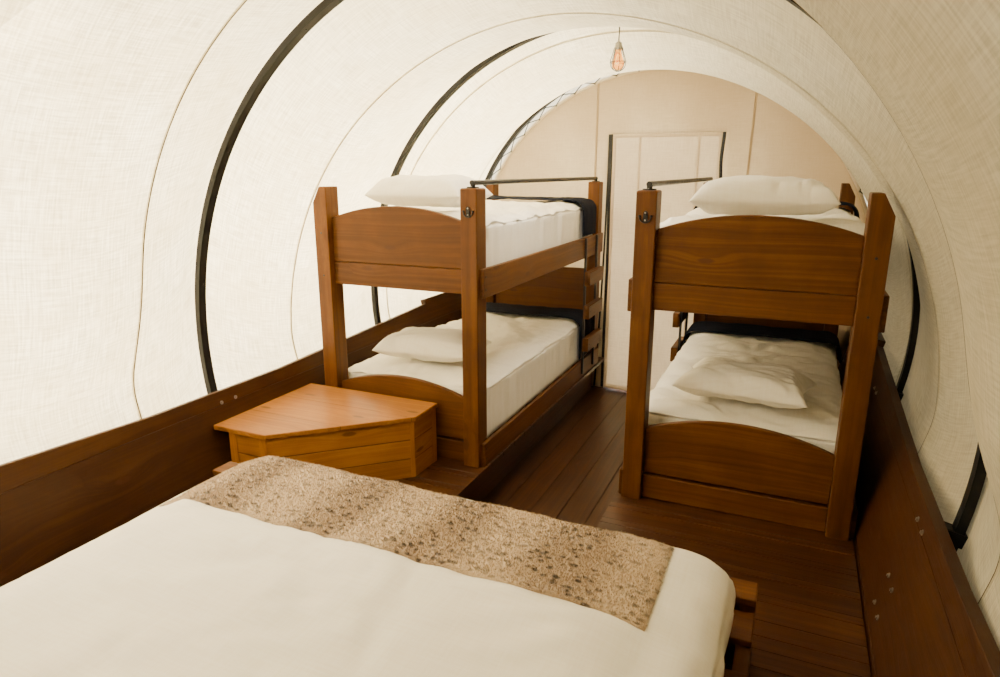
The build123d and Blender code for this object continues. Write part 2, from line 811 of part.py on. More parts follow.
# Near bed: a plank box on the platform with a flat cap at each end, and slats across it
bed_mid_x = (bed_left_x + bed_right_x) / 2
bed_mid_y = (bed_near_y + bed_far_y) / 2
bed_run = bed_far_y - bed_near_y
with BuildPart() as bed_box:
    with BuildSketch(Plane.XY.offset(platform_z)):
        with Locations((bed_mid_x, bed_mid_y)):
            with GridLocations(0, bed_run - board_t, 1, 2):
                Rectangle(bed_width, board_t)
    extrude(amount=bed_board_h)
    with BuildSketch(Plane.XY.offset(platform_z)):
        with Locations((bed_mid_x, bed_mid_y)):
            with GridLocations(bed_width - board_t, 0, 2, 1):
                Rectangle(board_t, bed_run)
    extrude(amount=bed_side_h)
    with BuildSketch(Plane.XY.offset(platform_z + bed_board_h)):
        with Locations((bed_mid_x, bed_mid_y)):
            with GridLocations(0, bed_run - bed_cap_w, 1, 2):
                Rectangle(bed_width, bed_cap_w)
    extrude(amount=bed_cap_t)
save(bed_box.part, "bed_box")

bed_slat_run = bed_run - 2 * bed_cap_w - 2 * platform_gap
bed_slat_pitch = (bed_slat_run - bed_slat_w) / (bed_slat_count - 1)
with BuildPart() as bed_slats:
    with BuildSketch(Plane.XY.offset(platform_z + bed_side_h)):
        with Locations((bed_mid_x, bed_mid_y)):
            with GridLocations(0, bed_slat_pitch, 1, bed_slat_count):
                Rectangle(bed_width, bed_slat_w)
    extrude(amount=slat_t)
save(bed_slats.part, "bed_slats")

bedding_z = platform_z + bed_side_h + slat_t + fabric_gap
bedding_left = bed_left_x + bed_bedding_left
bedding_right = bed_right_x - bed_bedding_right
bedding_near = bed_near_y + bed_bedding_near
bedding_far = bed_far_y - bed_bedding_far
with BuildPart() as bed_bedding:
    with BuildSketch(Plane.XY.offset(bedding_z)):
        with Locations(((bedding_left + bedding_right) / 2, (bedding_near + bedding_far) / 2)):
            RectangleRounded(bedding_right - bedding_left, bedding_far - bedding_near, bed_corner)
    extrude(amount=bed_bedding_h)
    fillet(bed_bedding.edges().group_by(Axis.Z)[-1], bed_round)
save(bed_bedding.part, "bed_bedding")

with BuildPart() as bed_runner:
    with BuildSketch(Plane.XY.offset(bedding_z + bed_bedding_h + fabric_gap)):
        with Locations((bed_mid_x + runner_shift, bedding_far - bed_round - runner_w / 2)):
            RectangleRounded(runner_length, runner_w, runner_round)
    extrude(amount=runner_t)
save(bed_runner.part, "bed_runner")

# Corner table between the left side board and the left bunk, its outer corner cut off
table_back_y = bunk_near_y - platform_gap
table_right_x = table_wall_gap - wall_x + table_width
table_cut_x = table_right_x - table_cut_w
table_cut_y = table_near_y + table_cut_run
table_base_h = table_h - table_top_t
top_wall_x = platform_gap - board_x(platform_z + table_base_h)


def table_outline(wall_edge, inset):
    """Plan of the table: square to the wall and the bunk, with the outer corner cut off."""
    with BuildSketch(mode=Mode.PRIVATE) as plan:
        with BuildLine():
            Polyline(
                (wall_edge, table_near_y + inset),
                (table_cut_x - inset / 2, table_near_y + inset),
                (table_right_x - inset, table_cut_y + inset / 2),
                (table_right_x - inset, table_back_y),
                (wall_edge, table_back_y),
                close=True,
            )
        make_face()
    return plan.sketch


with BuildPart() as table_base:
    with BuildSketch(Plane.XY.offset(platform_z)):
        add(table_outline(table_wall_gap - wall_x, table_overhang))
        offset(amount=-table_wall_t, kind=Kind.INTERSECTION, mode=Mode.SUBTRACT)
    extrude(amount=table_base_h)
    for seam in range(1, table_planks):
        seam_z = platform_z + seam * table_base_h / table_planks
        with BuildSketch(Plane.XY.offset(seam_z)):
            add(table_outline(table_wall_gap - wall_x, table_overhang))
            offset(amount=-groove_d, kind=Kind.INTERSECTION, mode=Mode.SUBTRACT)
        extrude(amount=groove_w / 2, both=True, mode=Mode.SUBTRACT)
save(table_base.part, "table_base")

with BuildPart() as table_top:
    with BuildSketch(Plane.XY.offset(platform_z + table_base_h)):
        add(table_outline(top_wall_x, 0))
    extrude(amount=table_top_t)
save(table_top.part, "table_top")

# Pendant lamp under a bow: flex, socket, bulb
lamp_y = bow_ys[lamp_bow - 1]
lamp_top_z = bow_centre_z + math.sqrt((bow_radius - bow_t / 2) ** 2 - lamp_x**2)
socket_top_z = lamp_top_z - lamp_cord_length
bulb_top_z = socket_top_z - socket_h
with BuildPart() as lamp_cord:
    with BuildSketch(Plane.XY.offset(socket_top_z)):
        with Locations((lamp_x, lamp_y)):
            Circle(lamp_cord_d / 2)
    extrude(amount=lamp_cord_length - platform_gap)
save(lamp_cord.part, "lamp_cord")

with BuildPart() as lamp_socket:
    with BuildSketch(Plane.XY.offset(bulb_top_z)):
        with Locations((lamp_x, lamp_y)):
            Circle(socket_d / 2)
    extrude(amount=socket_h)
    chamfer(lamp_socket.edges().group_by(Axis.Z)[-1], socket_edge)
save(lamp_socket.part, "lamp_socket")

# height above the tip of the bulb, diameter there
bulb_stations = (
    (0, bulb_tip_d),
    (bulb_tip_h, bulb_d - bulb_tip_h),
    (bulb_mid_h, bulb_d),
    (bulb_h, bulb_neck_d),
)
with BuildPart() as lamp_bulb:
    for (low_h, low_d), (high_h, high_d) in zip(bulb_stations[:-1], bulb_stations[1:]):
        with Locations((lamp_x, lamp_y, bulb_top_z - bulb_h + low_h)):
            Cone(
                low_d / 2,
                high_d / 2,
                high_h - low_h,
                align=(Align.CENTER, Align.CENTER, Align.MIN),
            )
save(lamp_bulb.part, "lamp_bulb")
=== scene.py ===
import math
import random

import bmesh
import bpy
import numpy as np
from mathutils import Matrix, Vector, noise


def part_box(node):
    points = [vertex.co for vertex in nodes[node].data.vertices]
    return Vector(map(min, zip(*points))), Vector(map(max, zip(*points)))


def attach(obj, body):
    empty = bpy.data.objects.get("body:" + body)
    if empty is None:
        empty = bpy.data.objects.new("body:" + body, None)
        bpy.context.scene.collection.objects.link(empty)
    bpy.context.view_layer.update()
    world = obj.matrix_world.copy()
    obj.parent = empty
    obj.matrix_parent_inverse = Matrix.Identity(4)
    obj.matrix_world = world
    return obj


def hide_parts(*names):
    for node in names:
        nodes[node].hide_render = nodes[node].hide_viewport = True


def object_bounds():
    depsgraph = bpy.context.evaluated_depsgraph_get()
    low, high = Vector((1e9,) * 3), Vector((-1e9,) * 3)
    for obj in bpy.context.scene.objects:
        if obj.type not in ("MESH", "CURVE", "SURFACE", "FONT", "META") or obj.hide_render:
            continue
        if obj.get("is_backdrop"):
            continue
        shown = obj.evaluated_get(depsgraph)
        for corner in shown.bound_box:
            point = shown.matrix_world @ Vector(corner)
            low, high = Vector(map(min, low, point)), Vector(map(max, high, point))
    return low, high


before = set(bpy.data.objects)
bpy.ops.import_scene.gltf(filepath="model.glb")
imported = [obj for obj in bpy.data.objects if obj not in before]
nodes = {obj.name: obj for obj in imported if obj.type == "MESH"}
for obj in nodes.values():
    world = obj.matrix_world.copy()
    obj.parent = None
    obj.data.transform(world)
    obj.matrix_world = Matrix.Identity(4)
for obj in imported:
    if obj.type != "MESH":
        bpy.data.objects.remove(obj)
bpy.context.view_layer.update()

# Viewpoint: someone standing inside the wagon at the right of the wide bed, looking towards the door
# and a little to the left and down, with a wide lens.
viewpoint = bpy.data.objects.new("viewpoint", bpy.data.cameras.new("viewpoint"))
bpy.context.scene.collection.objects.link(viewpoint)
viewpoint.data.sensor_width = 36
viewpoint.data.lens = 0.65933 * 36
viewpoint.data.clip_start = 0.03
viewpoint.matrix_world = (
    Matrix.Translation((0.915, -2.05, 1.880))
    @ Matrix.Rotation(0.4194, 4, "Z")
    @ Matrix.Rotation(math.pi / 2 - 0.2491, 4, "X")
)
bpy.context.scene.camera = viewpoint

# Pendant lamp: a short black flex from the fourth bow, a turned brass lampholder with a ring, a clear amber
# bulb with a looped filament, and a teardrop cage of eight dark wires clamped under the ring.
lamp_at = (0.040, 1.320)
flex_top = 2.5829
holder_top = 2.4889
bulb_top = 2.4469


def add_node(tree, kind, inputs=None, **settings):
    """Place a node, then set or connect the inputs that are given."""
    node = tree.nodes.new(kind)
    for name, value in settings.items():
        setattr(node, name, value)
    for key, value in (inputs or {}).items():
        socket = node.inputs[key]
        if isinstance(value, bpy.types.NodeSocket):
            tree.links.new(value, socket)
        else:
            socket.default_value = value
    return node


def sum_of(tree, kind, a, b=0.0, c=0.0, clamp=False):
    """One step of arithmetic on values."""
    return add_node(tree, "ShaderNodeMath", {0: a, 1: b, 2: c}, operation=kind, use_clamp=clamp).outputs[0]


def blend_colours(tree, factor, first, second, kind="MIX"):
    """Mix two colours by a mask."""
    node = add_node(tree, "ShaderNodeMix", {0: factor, 6: first, 7: second}, data_type="RGBA", blend_type=kind)
    return node.outputs[2]


def finish_material(name, **sockets):
    """A material with one Principled shader, ready for its colours."""
    made = bpy.data.materials.new(name)
    made.use_nodes = True
    shader = made.node_tree.nodes["Principled BSDF"]
    for key, value in sockets.items():
        shader.inputs[key.replace("_", " ").title().replace("Ior", "IOR")].default_value = value
    return made, made.node_tree, shader


def own_coordinates(tree, scale=(1, 1, 1), turn=(0, 0, 0)):
    """Object coordinates, stretched and turned for one pattern."""
    place = add_node(tree, "ShaderNodeTexCoord").outputs["Object"]
    return add_node(tree, "ShaderNodeMapping", {"Vector": place, "Scale": scale, "Rotation": turn}).outputs[0]


def speckle(tree, vector, scale, detail=3.0, rough=0.55):
    """Noise from 0 to 1."""
    inputs = {"Vector": vector, "Scale": scale, "Detail": detail, "Roughness": rough}
    return add_node(tree, "ShaderNodeTexNoise", inputs).outputs["Fac"]


def bump(tree, shader, height, distance, strength=1.0):
    """Feed a height to the shader's normal."""
    relief = add_node(tree, "ShaderNodeBump", {"Height": height, "Distance": distance, "Strength": strength})
    tree.links.new(relief.outputs[0], shader.inputs["Normal"])


def wear_group():
    """Dust and handling marks: a broad cloud, a fine grain, and the mask of the two together."""
    tree = bpy.data.node_groups.new("dust and wear", "ShaderNodeTree")
    for name, kind, start in (("Vector", "Vector", None), ("Size", "Float", 3.0), ("Amount", "Float", 0.5)):
        socket = tree.interface.new_socket(name, in_out="INPUT", socket_type="NodeSocket" + kind)
        if start is not None:
            socket.default_value = start
    for name in ("Mask", "Fine"):
        tree.interface.new_socket(name, in_out="OUTPUT", socket_type="NodeSocketFloat")
    given = add_node(tree, "NodeGroupInput").outputs
    broad = speckle(tree, given["Vector"], given["Size"], 4.0)
    fine = speckle(tree, given["Vector"], sum_of(tree, "MULTIPLY", given["Size"], 24.0), 2.0)
    both = sum_of(tree, "MULTIPLY_ADD", fine, 0.35, broad)
    mask = add_node(tree, "ShaderNodeMapRange", {"Value": both, "From Min": 0.48, "From Max": 0.95})
    kept = sum_of(tree, "MULTIPLY", mask.outputs[0], given["Amount"], clamp=True)
    add_node(tree, "NodeGroupOutput", {"Mask": kept, "Fine": fine})
    return tree


dust_and_wear = wear_group()


def worn(tree, size, amount, vector=None):
    """Place the wear group; gives its mask and its fine grain."""
    vector = vector or own_coordinates(tree)
    group = add_node(tree, "ShaderNodeGroup", node_tree=dust_and_wear)
    tree.links.new(vector, group.inputs["Vector"])
    group.inputs["Size"].default_value = size
    group.inputs["Amount"].default_value = amount
    return group.outputs["Mask"], group.outputs["Fine"]


def worn_metal(name, colour, rubbed, rough, metallic, size=14.0):
    """Metal or painted metal whose colour and gloss change where it is handled."""
    made, tree, shader = finish_material(name, metallic=metallic)
    mask, fine = worn(tree, size, 0.8)
    tree.links.new(blend_colours(tree, mask, (*colour, 1), (*rubbed, 1)), shader.inputs["Base Color"])
    gloss = add_node(tree, "ShaderNodeMapRange", {"Value": mask, "To Min": rough, "To Max": rough + 0.22})
    tree.links.new(gloss.outputs[0], shader.inputs["Roughness"])
    bump(tree, shader, fine, 0.0006, 0.35)
    return made


def show(name, mesh, *materials):
    """Link a finished mesh, give it its materials, and fix it to the wagon."""
    piece = bpy.data.objects.new(name, mesh)
    bpy.context.scene.collection.objects.link(piece)
    for material in materials:
        mesh.materials.append(material)
    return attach(piece, "root")


def turned(name, profile, place, material, steps=24):
    """A lathe-turned piece: radius and height stations about an upright axis at place."""
    verts = []
    faces = []
    for radius, height in profile:
        for step in range(steps):
            angle = 2 * math.pi * step / steps
            verts.append((place[0] + radius * math.cos(angle), place[1] + radius * math.sin(angle), height))
    for ring in range(len(profile) - 1):
        for step in range(steps):
            a = ring * steps + step
            b = ring * steps + (step + 1) % steps
            faces.append((a, b, b + steps, a + steps))
    mesh = bpy.data.meshes.new(name)
    mesh.from_pydata(verts, [], faces)
    work = bmesh.new()
    work.from_mesh(mesh)
    bmesh.ops.remove_doubles(work, verts=work.verts, dist=1e-6)
    bmesh.ops.recalc_face_normals(work, faces=work.faces)
    work.to_mesh(mesh)
    work.free()
    mesh.shade_smooth()
    mesh.set_sharp_from_angle(angle=0.7)
    return show(name, mesh, material)


def wire(name, runs, radius, material, closed=False, sides=3, order=3):
    """Round wire or cord along one or more smooth lines, as a mesh."""
    curve = bpy.data.curves.new(name, "CURVE")
    curve.dimensions = "3D"
    curve.bevel_depth = radius
    curve.bevel_resolution = sides
    curve.use_fill_caps = not closed
    for run in runs:
        line = curve.splines.new("NURBS")
        line.points.add(len(run) - 1)
        for point, place in zip(line.points, run):
            point.co = (*place, 1)
        line.order_u = order
        line.use_cyclic_u = closed
        line.use_endpoint_u = not closed
        line.resolution_u = 6
    holder = bpy.data.objects.new(name + "_line", curve)
    bpy.context.scene.collection.objects.link(holder)
    mesh = bpy.data.meshes.new_from_object(holder.evaluated_get(bpy.context.evaluated_depsgraph_get()))
    bpy.data.objects.remove(holder)
    mesh.name = name
    mesh.materials.clear()
    mesh.shade_smooth()
    return show(name, mesh, material)


flex_black, tree, shader = finish_material("flex black", roughness=0.55)
mask, fine = worn(tree, 60.0, 0.5)
tree.links.new(
    blend_colours(tree, mask, (0.012, 0.012, 0.013, 1), (0.05, 0.048, 0.045, 1)), shader.inputs["Base Color"]
)
braid = add_node(
    tree, "ShaderNodeTexWave", {"Vector": own_coordinates(tree), "Scale": 140.0}, bands_direction="DIAGONAL"
)
bump(tree, shader, braid.outputs["Fac"], 0.0004)

lamp_brass = worn_metal("dull lamp brass", (0.34, 0.31, 0.24), (0.46, 0.42, 0.33), 0.38, 0.8, 60.0)
cage_wire = worn_metal("dark cage wire", (0.045, 0.038, 0.032), (0.11, 0.09, 0.07), 0.42, 0.8, 60.0)

flex_curve = bpy.data.curves.new("lamp_flex", "CURVE")
flex_curve.dimensions = "3D"
flex_curve.bevel_depth = 0.003
flex_curve.bevel_resolution = 4
flex_curve.use_fill_caps = True
flex_line = flex_curve.splines.new("NURBS")
flex_points = [
    (lamp_at[0], lamp_at[1], flex_top),
    (lamp_at[0], lamp_at[1], 2.560),
    (lamp_at[0] + 0.0015, lamp_at[1], 2.530),
    (lamp_at[0], lamp_at[1], 2.508),
    (lamp_at[0], lamp_at[1], holder_top),
    (lamp_at[0], lamp_at[1], holder_top - 0.030),
]
flex_line.points.add(len(flex_points) - 1)
for point, place in zip(flex_line.points, flex_points):
    point.co = (*place, 1)
flex_line.order_u = 3
flex_line.use_endpoint_u = True
flex_curve.materials.append(flex_black)
lamp_flex = bpy.data.objects.new("lamp_flex", flex_curve)
bpy.context.scene.collection.objects.link(lamp_flex)
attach(lamp_flex, "root")
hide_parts("lamp_cord")

holder_profile = [
    (0.0, 0.0), (0.0048, 0.0), (0.0058, -0.006), (0.0125, -0.0085), (0.0165, -0.013), (0.0165, -0.021),
    (0.0178, -0.0225), (0.0178, -0.0265), (0.0165, -0.028), (0.0165, -0.041), (0.0150, -0.042), (0.0, -0.042),
]
lampholder = turned("lamp_holder", [(r, holder_top + z) for r, z in holder_profile], lamp_at, lamp_brass, 32)
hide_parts("lamp_socket")
ring_profile = [(0.0188 + 0.0032 * math.cos(a), holder_top - 0.033 + 0.0042 * math.sin(a))
                for a in [2 * math.pi * i / 10 for i in range(11)]]
cage_ring = turned("lamp_cage_ring", ring_profile, lamp_at, lamp_brass, 32)

amber_glass, tree, shader = finish_material(
    "amber glass", roughness=0.06, ior=1.35, transmission_weight=0.80, coat_weight=0.1
)
smoke = speckle(tree, own_coordinates(tree), 30.0)
tree.links.new(
    blend_colours(tree, smoke, (1.0, 0.42, 0.085, 1), (1.0, 0.58, 0.17, 1)), shader.inputs["Base Color"]
)
shader.inputs["Emission Color"].default_value = (1.0, 0.40, 0.07, 1)
shader.inputs["Emission Strength"].default_value = 0.35
glass_profile = [
    (0.0, 0.0), (0.0130, 0.0), (0.0132, -0.008), (0.0165, -0.020), (0.0225, -0.036), (0.0272, -0.050),
    (0.0288, -0.062), (0.0272, -0.074), (0.0215, -0.084), (0.0125, -0.0902), (0.0, -0.092),
]
bulb = turned("lamp_glass", [(r, bulb_top + z) for r, z in glass_profile], lamp_at, amber_glass, 32)
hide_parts("lamp_bulb")

filament_glow, tree, shader = finish_material("filament", roughness=0.5)
glow = speckle(tree, own_coordinates(tree), 200.0)
tree.links.new(blend_colours(tree, glow, (1.0, 0.42, 0.10, 1), (1.0, 0.66, 0.30, 1)), shader.inputs["Emission Color"])
shader.inputs["Emission Strength"].default_value = 3.0
loops = []
for index in range(5):
    a = 2 * math.pi * index / 5
    b = a + math.pi / 5
    inner = 0.0045
    outer = 0.0125
    loops.append([
        (lamp_at[0] + inner * math.cos(a), lamp_at[1] + inner * math.sin(a), bulb_top - 0.022),
        (lamp_at[0] + outer * math.cos(a), lamp_at[1] + outer * math.sin(a), bulb_top - 0.066),
        (lamp_at[0] + outer * math.cos(b), lamp_at[1] + outer * math.sin(b), bulb_top - 0.070),
        (lamp_at[0] + inner * math.cos(b), lamp_at[1] + inner * math.sin(b), bulb_top - 0.022),
    ])
filament = wire("lamp_filament", loops, 0.0006, filament_glow, sides=1)

cage_shape = [(0.0195, -0.030), (0.0235, -0.050), (0.0335, -0.078), (0.0385, -0.098), (0.0350, -0.118),
              (0.0220, -0.134), (0.0060, -0.1395)]
cage_runs = []
for index in range(8):
    a = 2 * math.pi * (index + 0.5) / 8
    cage_runs.append([
        (lamp_at[0] + r * math.cos(a), lamp_at[1] + r * math.sin(a), holder_top + z) for r, z in cage_shape
    ])
cage = wire("lamp_cage", cage_runs, 0.0016, cage_wire, sides=2)
cage_hoops = wire(
    "lamp_cage_hoops",
    [[(lamp_at[0] + r * math.cos(a), lamp_at[1] + r * math.sin(a), holder_top + z)
      for a in [2 * math.pi * i / 16 for i in range(16)]] for r, z in ((0.0392, -0.098), (0.0075, -0.1385))],
    0.0016, cage_wire, closed=True, sides=2,
)

# Floor of the wagon: two long sills on the ground, seven cross sills over them, a deck of planks, and over
# it raised platforms on joists. Softwood, stained red-brown and varnished, with its edges eased.


def grain_group():
    """Stained softwood. Vector runs in metres with X down the board; Tone differs from board to board."""
    tree = bpy.data.node_groups.new("stained grain", "ShaderNodeTree")
    given_list = (
        ("Vector", "Vector", None), ("Tone", "Float", 0.0), ("Dark", "Color", (0.05, 0.02, 0.008, 1)),
        ("Mid", "Color", (0.25, 0.1, 0.03, 1)), ("Light", "Color", (0.5, 0.25, 0.09, 1)), ("Knots", "Float", 0.4),
        ("Gloss", "Float", 0.3),
    )
    for name, kind, start in given_list:
        socket = tree.interface.new_socket(name, in_out="INPUT", socket_type="NodeSocket" + kind)
        if start is not None:
            socket.default_value = start
    for name, kind in (("Color", "Color"), ("Roughness", "Float"), ("Height", "Float")):
        tree.interface.new_socket(name, in_out="OUTPUT", socket_type="NodeSocket" + kind)
    given = add_node(tree, "NodeGroupInput").outputs
    parts = add_node(tree, "ShaderNodeSeparateXYZ", {0: given["Vector"]}).outputs
    flat = sum_of(tree, "ADD", parts[1], sum_of(tree, "MULTIPLY", parts[2], 0.6))
    knot_place = add_node(
        tree, "ShaderNodeCombineXYZ", {0: sum_of(tree, "MULTIPLY", parts[0], 2.1), 1: sum_of(tree, "MULTIPLY", flat, 6.5)}
    )
    cell = add_node(tree, "ShaderNodeTexVoronoi", {"Vector": knot_place.outputs[0], "Scale": 1.0}, voronoi_dimensions="2D")
    chosen = sum_of(
        tree, "LESS_THAN", add_node(tree, "ShaderNodeSeparateColor", {0: cell.outputs["Color"]}).outputs[0],
        given["Knots"],
    )
    knot = add_node(
        tree, "ShaderNodeMapRange", {"Value": cell.outputs["Distance"], "From Min": 0.045, "From Max": 0.085,
                                    "To Min": 1.0, "To Max": 0.0},
        interpolation_type="SMOOTHSTEP",
    )
    knot_mask = sum_of(tree, "MULTIPLY", knot.outputs[0], chosen)
    swirl = add_node(
        tree, "ShaderNodeMapRange", {"Value": cell.outputs["Distance"], "From Min": 0.0, "From Max": 0.42,
                                    "To Min": 0.028, "To Max": 0.0},
        interpolation_type="SMOOTHERSTEP",
    )
    swirl_here = sum_of(tree, "MULTIPLY", swirl.outputs[0], chosen)
    slow = add_node(tree, "ShaderNodeVectorMath", {0: given["Vector"], 1: (1.1, 4.5, 4.5)}, operation="MULTIPLY")
    drift = speckle(tree, slow.outputs[0], 1.0, 2.0)
    across = sum_of(tree, "ADD", sum_of(tree, "MULTIPLY_ADD", drift, 0.075, parts[1]), swirl_here)
    bands_at = add_node(
        tree, "ShaderNodeCombineXYZ",
        {0: sum_of(tree, "MULTIPLY", parts[0], 0.55), 1: sum_of(tree, "MULTIPLY", across, 62.0),
         2: sum_of(tree, "MULTIPLY", parts[2], 30.0)},
    )
    bands = speckle(tree, bands_at.outputs[0], 1.0, 2.5, 0.6)
    fibre_at = add_node(
        tree, "ShaderNodeCombineXYZ",
        {0: sum_of(tree, "MULTIPLY", parts[0], 9.0), 1: sum_of(tree, "MULTIPLY", across, 420.0),
         2: sum_of(tree, "MULTIPLY", parts[2], 300.0)},
    )
    fibre = speckle(tree, fibre_at.outputs[0], 1.0, 2.0, 0.6)
    blotch = speckle(tree, given["Vector"], 5.5, 3.0)
    sharp_bands = add_node(tree, "ShaderNodeMapRange", {"Value": bands, "From Min": 0.24, "From Max": 0.76})
    mix = sum_of(tree, "MULTIPLY_ADD", fibre, 0.36, sum_of(tree, "MULTIPLY", sharp_bands.outputs[0], 0.50))
    mix = sum_of(tree, "MULTIPLY_ADD", sum_of(tree, "SUBTRACT", blotch, 0.5), 0.55, mix)
    lower = add_node(tree, "ShaderNodeMapRange", {"Value": mix, "From Min": 0.05, "From Max": 0.50})
    upper = add_node(tree, "ShaderNodeMapRange", {"Value": mix, "From Min": 0.45, "From Max": 0.95})
    colour = blend_colours(tree, lower.outputs[0], given["Dark"], given["Mid"])
    colour = blend_colours(tree, upper.outputs[0], colour, given["Light"])
    bright = sum_of(tree, "MULTIPLY_ADD", given["Tone"], 0.34, 1.0)
    shade = add_node(tree, "ShaderNodeCombineColor", {0: bright, 1: bright, 2: bright}).outputs[0]
    colour = blend_colours(tree, 1.0, colour, shade, "MULTIPLY")
    colour = blend_colours(tree, sum_of(tree, "MULTIPLY", knot_mask, 0.7), colour, (0.060, 0.020, 0.006, 1))
    rough = sum_of(tree, "MULTIPLY_ADD", fibre, 0.18, given["Gloss"])
    rough = sum_of(tree, "MULTIPLY_ADD", blotch, 0.12, rough)
    height = sum_of(tree, "MULTIPLY_ADD", fibre, 0.45, sum_of(tree, "MULTIPLY", bands, 0.55))
    height = sum_of(tree, "MULTIPLY_ADD", knot_mask, -0.4, height)
    add_node(tree, "NodeGroupOutput", {"Color": colour, "Roughness": rough, "Height": height})
    return tree


stained_grain = grain_group()


def stained_wood(name, dark, mid, light, knots, gloss, coat=0.0):
    """Softwood that reads each board's own grain direction and tone from its mesh."""
    made, tree, shader = finish_material(name, coat_weight=coat, coat_roughness=0.2, specular_ior_level=0.22)
    group = add_node(tree, "ShaderNodeGroup", node_tree=stained_grain)
    down = add_node(tree, "ShaderNodeAttribute", attribute_name="down_board")
    tone = add_node(tree, "ShaderNodeAttribute", attribute_name="board_tone")
    tree.links.new(down.outputs["Vector"], group.inputs["Vector"])
    tree.links.new(tone.outputs["Fac"], group.inputs["Tone"])
    for key, value in (("Dark", (*dark, 1)), ("Mid", (*mid, 1)), ("Light", (*light, 1)), ("Knots", knots),
                       ("Gloss", gloss)):
        group.inputs[key].default_value = value
    mask, fine = worn(tree, 2.2, 0.35)
    tree.links.new(
        blend_colours(tree, mask, group.outputs["Color"], (dark[0] * 1.3, dark[1] * 1.3, dark[2] * 1.3, 1)),
        shader.inputs["Base Color"],
    )
    tree.links.new(sum_of(tree, "MULTIPLY_ADD", mask, 0.18, group.outputs["Roughness"]), shader.inputs["Roughness"])
    bump(tree, shader, group.outputs["Height"], 0.0016, 0.55)
    return made


def boards(name, cad_nodes, material, edge=0.003, run=None, cuts=None, seed=1, turn_by_face=None,
           joint=0.0, sink=0.0):
    """Copy CAD boards, ease their edges, and give each board its grain direction and tone, and dark joints."""
    dice = random.Random(seed)
    work = bmesh.new()
    for node in cad_nodes:
        work.from_mesh(nodes[node].data)
    bmesh.ops.remove_doubles(work, verts=work.verts, dist=2e-5)
    bmesh.ops.dissolve_limit(work, angle_limit=0.03, verts=work.verts, edges=work.edges)
    if edge:
        sharp = [e for e in work.edges if len(e.link_faces) == 2 and e.calc_face_angle(0) > 0.5]
        bmesh.ops.bevel(
            work, geom=sharp, offset=edge, segments=2, profile=0.5, affect="EDGES", clamp_overlap=True,
            offset_type="OFFSET",
        )
    if cuts:
        along_axis, places = cuts
        normal = Vector([1.0 if i == along_axis else 0.0 for i in range(3)])
        for place in places:
            bmesh.ops.bisect_plane(
                work, geom=work.verts[:] + work.edges[:] + work.faces[:], dist=1e-6, plane_co=normal * place,
                plane_no=normal,
            )
            if sink:
                seam = [
                    e for e in work.edges
                    if all(abs(v.co[along_axis] - place) < 2e-5 for v in e.verts) and len(e.link_faces) == 2
                    and e.calc_face_angle(1.0) < 0.3
                ]
                bmesh.ops.bevel(
                    work, geom=seam, offset=joint, segments=2, profile=0.5, affect="EDGES", clamp_overlap=False,
                    offset_type="OFFSET",
                )
                work.normal_update()
                sunk = [v for v in work.verts if abs(v.co[along_axis] - place) < 2e-5]
                for vert, way in [(v, v.normal.copy()) for v in sunk]:
                    way[along_axis] = 0.0
                    vert.co -= way * sink
    work.faces.ensure_lookup_table()
    island = [-1] * len(work.faces)
    runs = []
    for start in work.faces:
        if island[start.index] >= 0:
            continue
        number = len(runs)
        stack = [start]
        island[start.index] = number
        low = Vector((1e9, 1e9, 1e9))
        high = -low
        while stack:
            face = stack.pop()
            for vert in face.verts:
                for i in range(3):
                    low[i] = min(low[i], vert.co[i])
                    high[i] = max(high[i], vert.co[i])
            for e in face.edges:
                for other in e.link_faces:
                    if island[other.index] < 0:
                        island[other.index] = number
                        stack.append(other)
        size = high - low
        order = sorted(range(3), key=lambda i: -size[i])
        if run is not None:
            order = [run] + [i for i in order if i != run]
        runs.append(order)
    mesh = bpy.data.meshes.new(name)
    work.to_mesh(mesh)
    down = np.zeros((len(mesh.loops), 3))
    tones = np.zeros(len(mesh.loops))
    luck = {}
    for polygon in mesh.polygons:
        order = runs[island[polygon.index]]
        centre = polygon.center
        key = (island[polygon.index], sum(centre[cuts[0]] > place for place in cuts[1]) if cuts else 0)
        if turn_by_face:
            order, extra = turn_by_face(centre, polygon.normal)
            key += (extra,)
        if key not in luck:
            luck[key] = ([dice.uniform(-9, 9) for i in range(3)], dice.uniform(-0.5, 0.5))
        shift, tone = luck[key]
        if cuts and joint and min(abs(centre[cuts[0]] - place) for place in cuts[1]) < joint * 1.05:
            tone = -2.3
        for loop in polygon.loop_indices:
            place = mesh.vertices[mesh.loops[loop].vertex_index].co
            for i in range(3):
                value = place.dot(order[i]) if isinstance(order[i], Vector) else place[order[i]]
                down[loop][i] = value + shift[i]
            tones[loop] = tone
    mesh.attributes.new("down_board", "FLOAT_VECTOR", "CORNER").data.foreach_set("vector", down.ravel())
    mesh.attributes.new("board_tone", "FLOAT", "CORNER").data.foreach_set("value", tones)
    work.free()
    piece = show(name, mesh, material)
    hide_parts(*cad_nodes)
    return piece


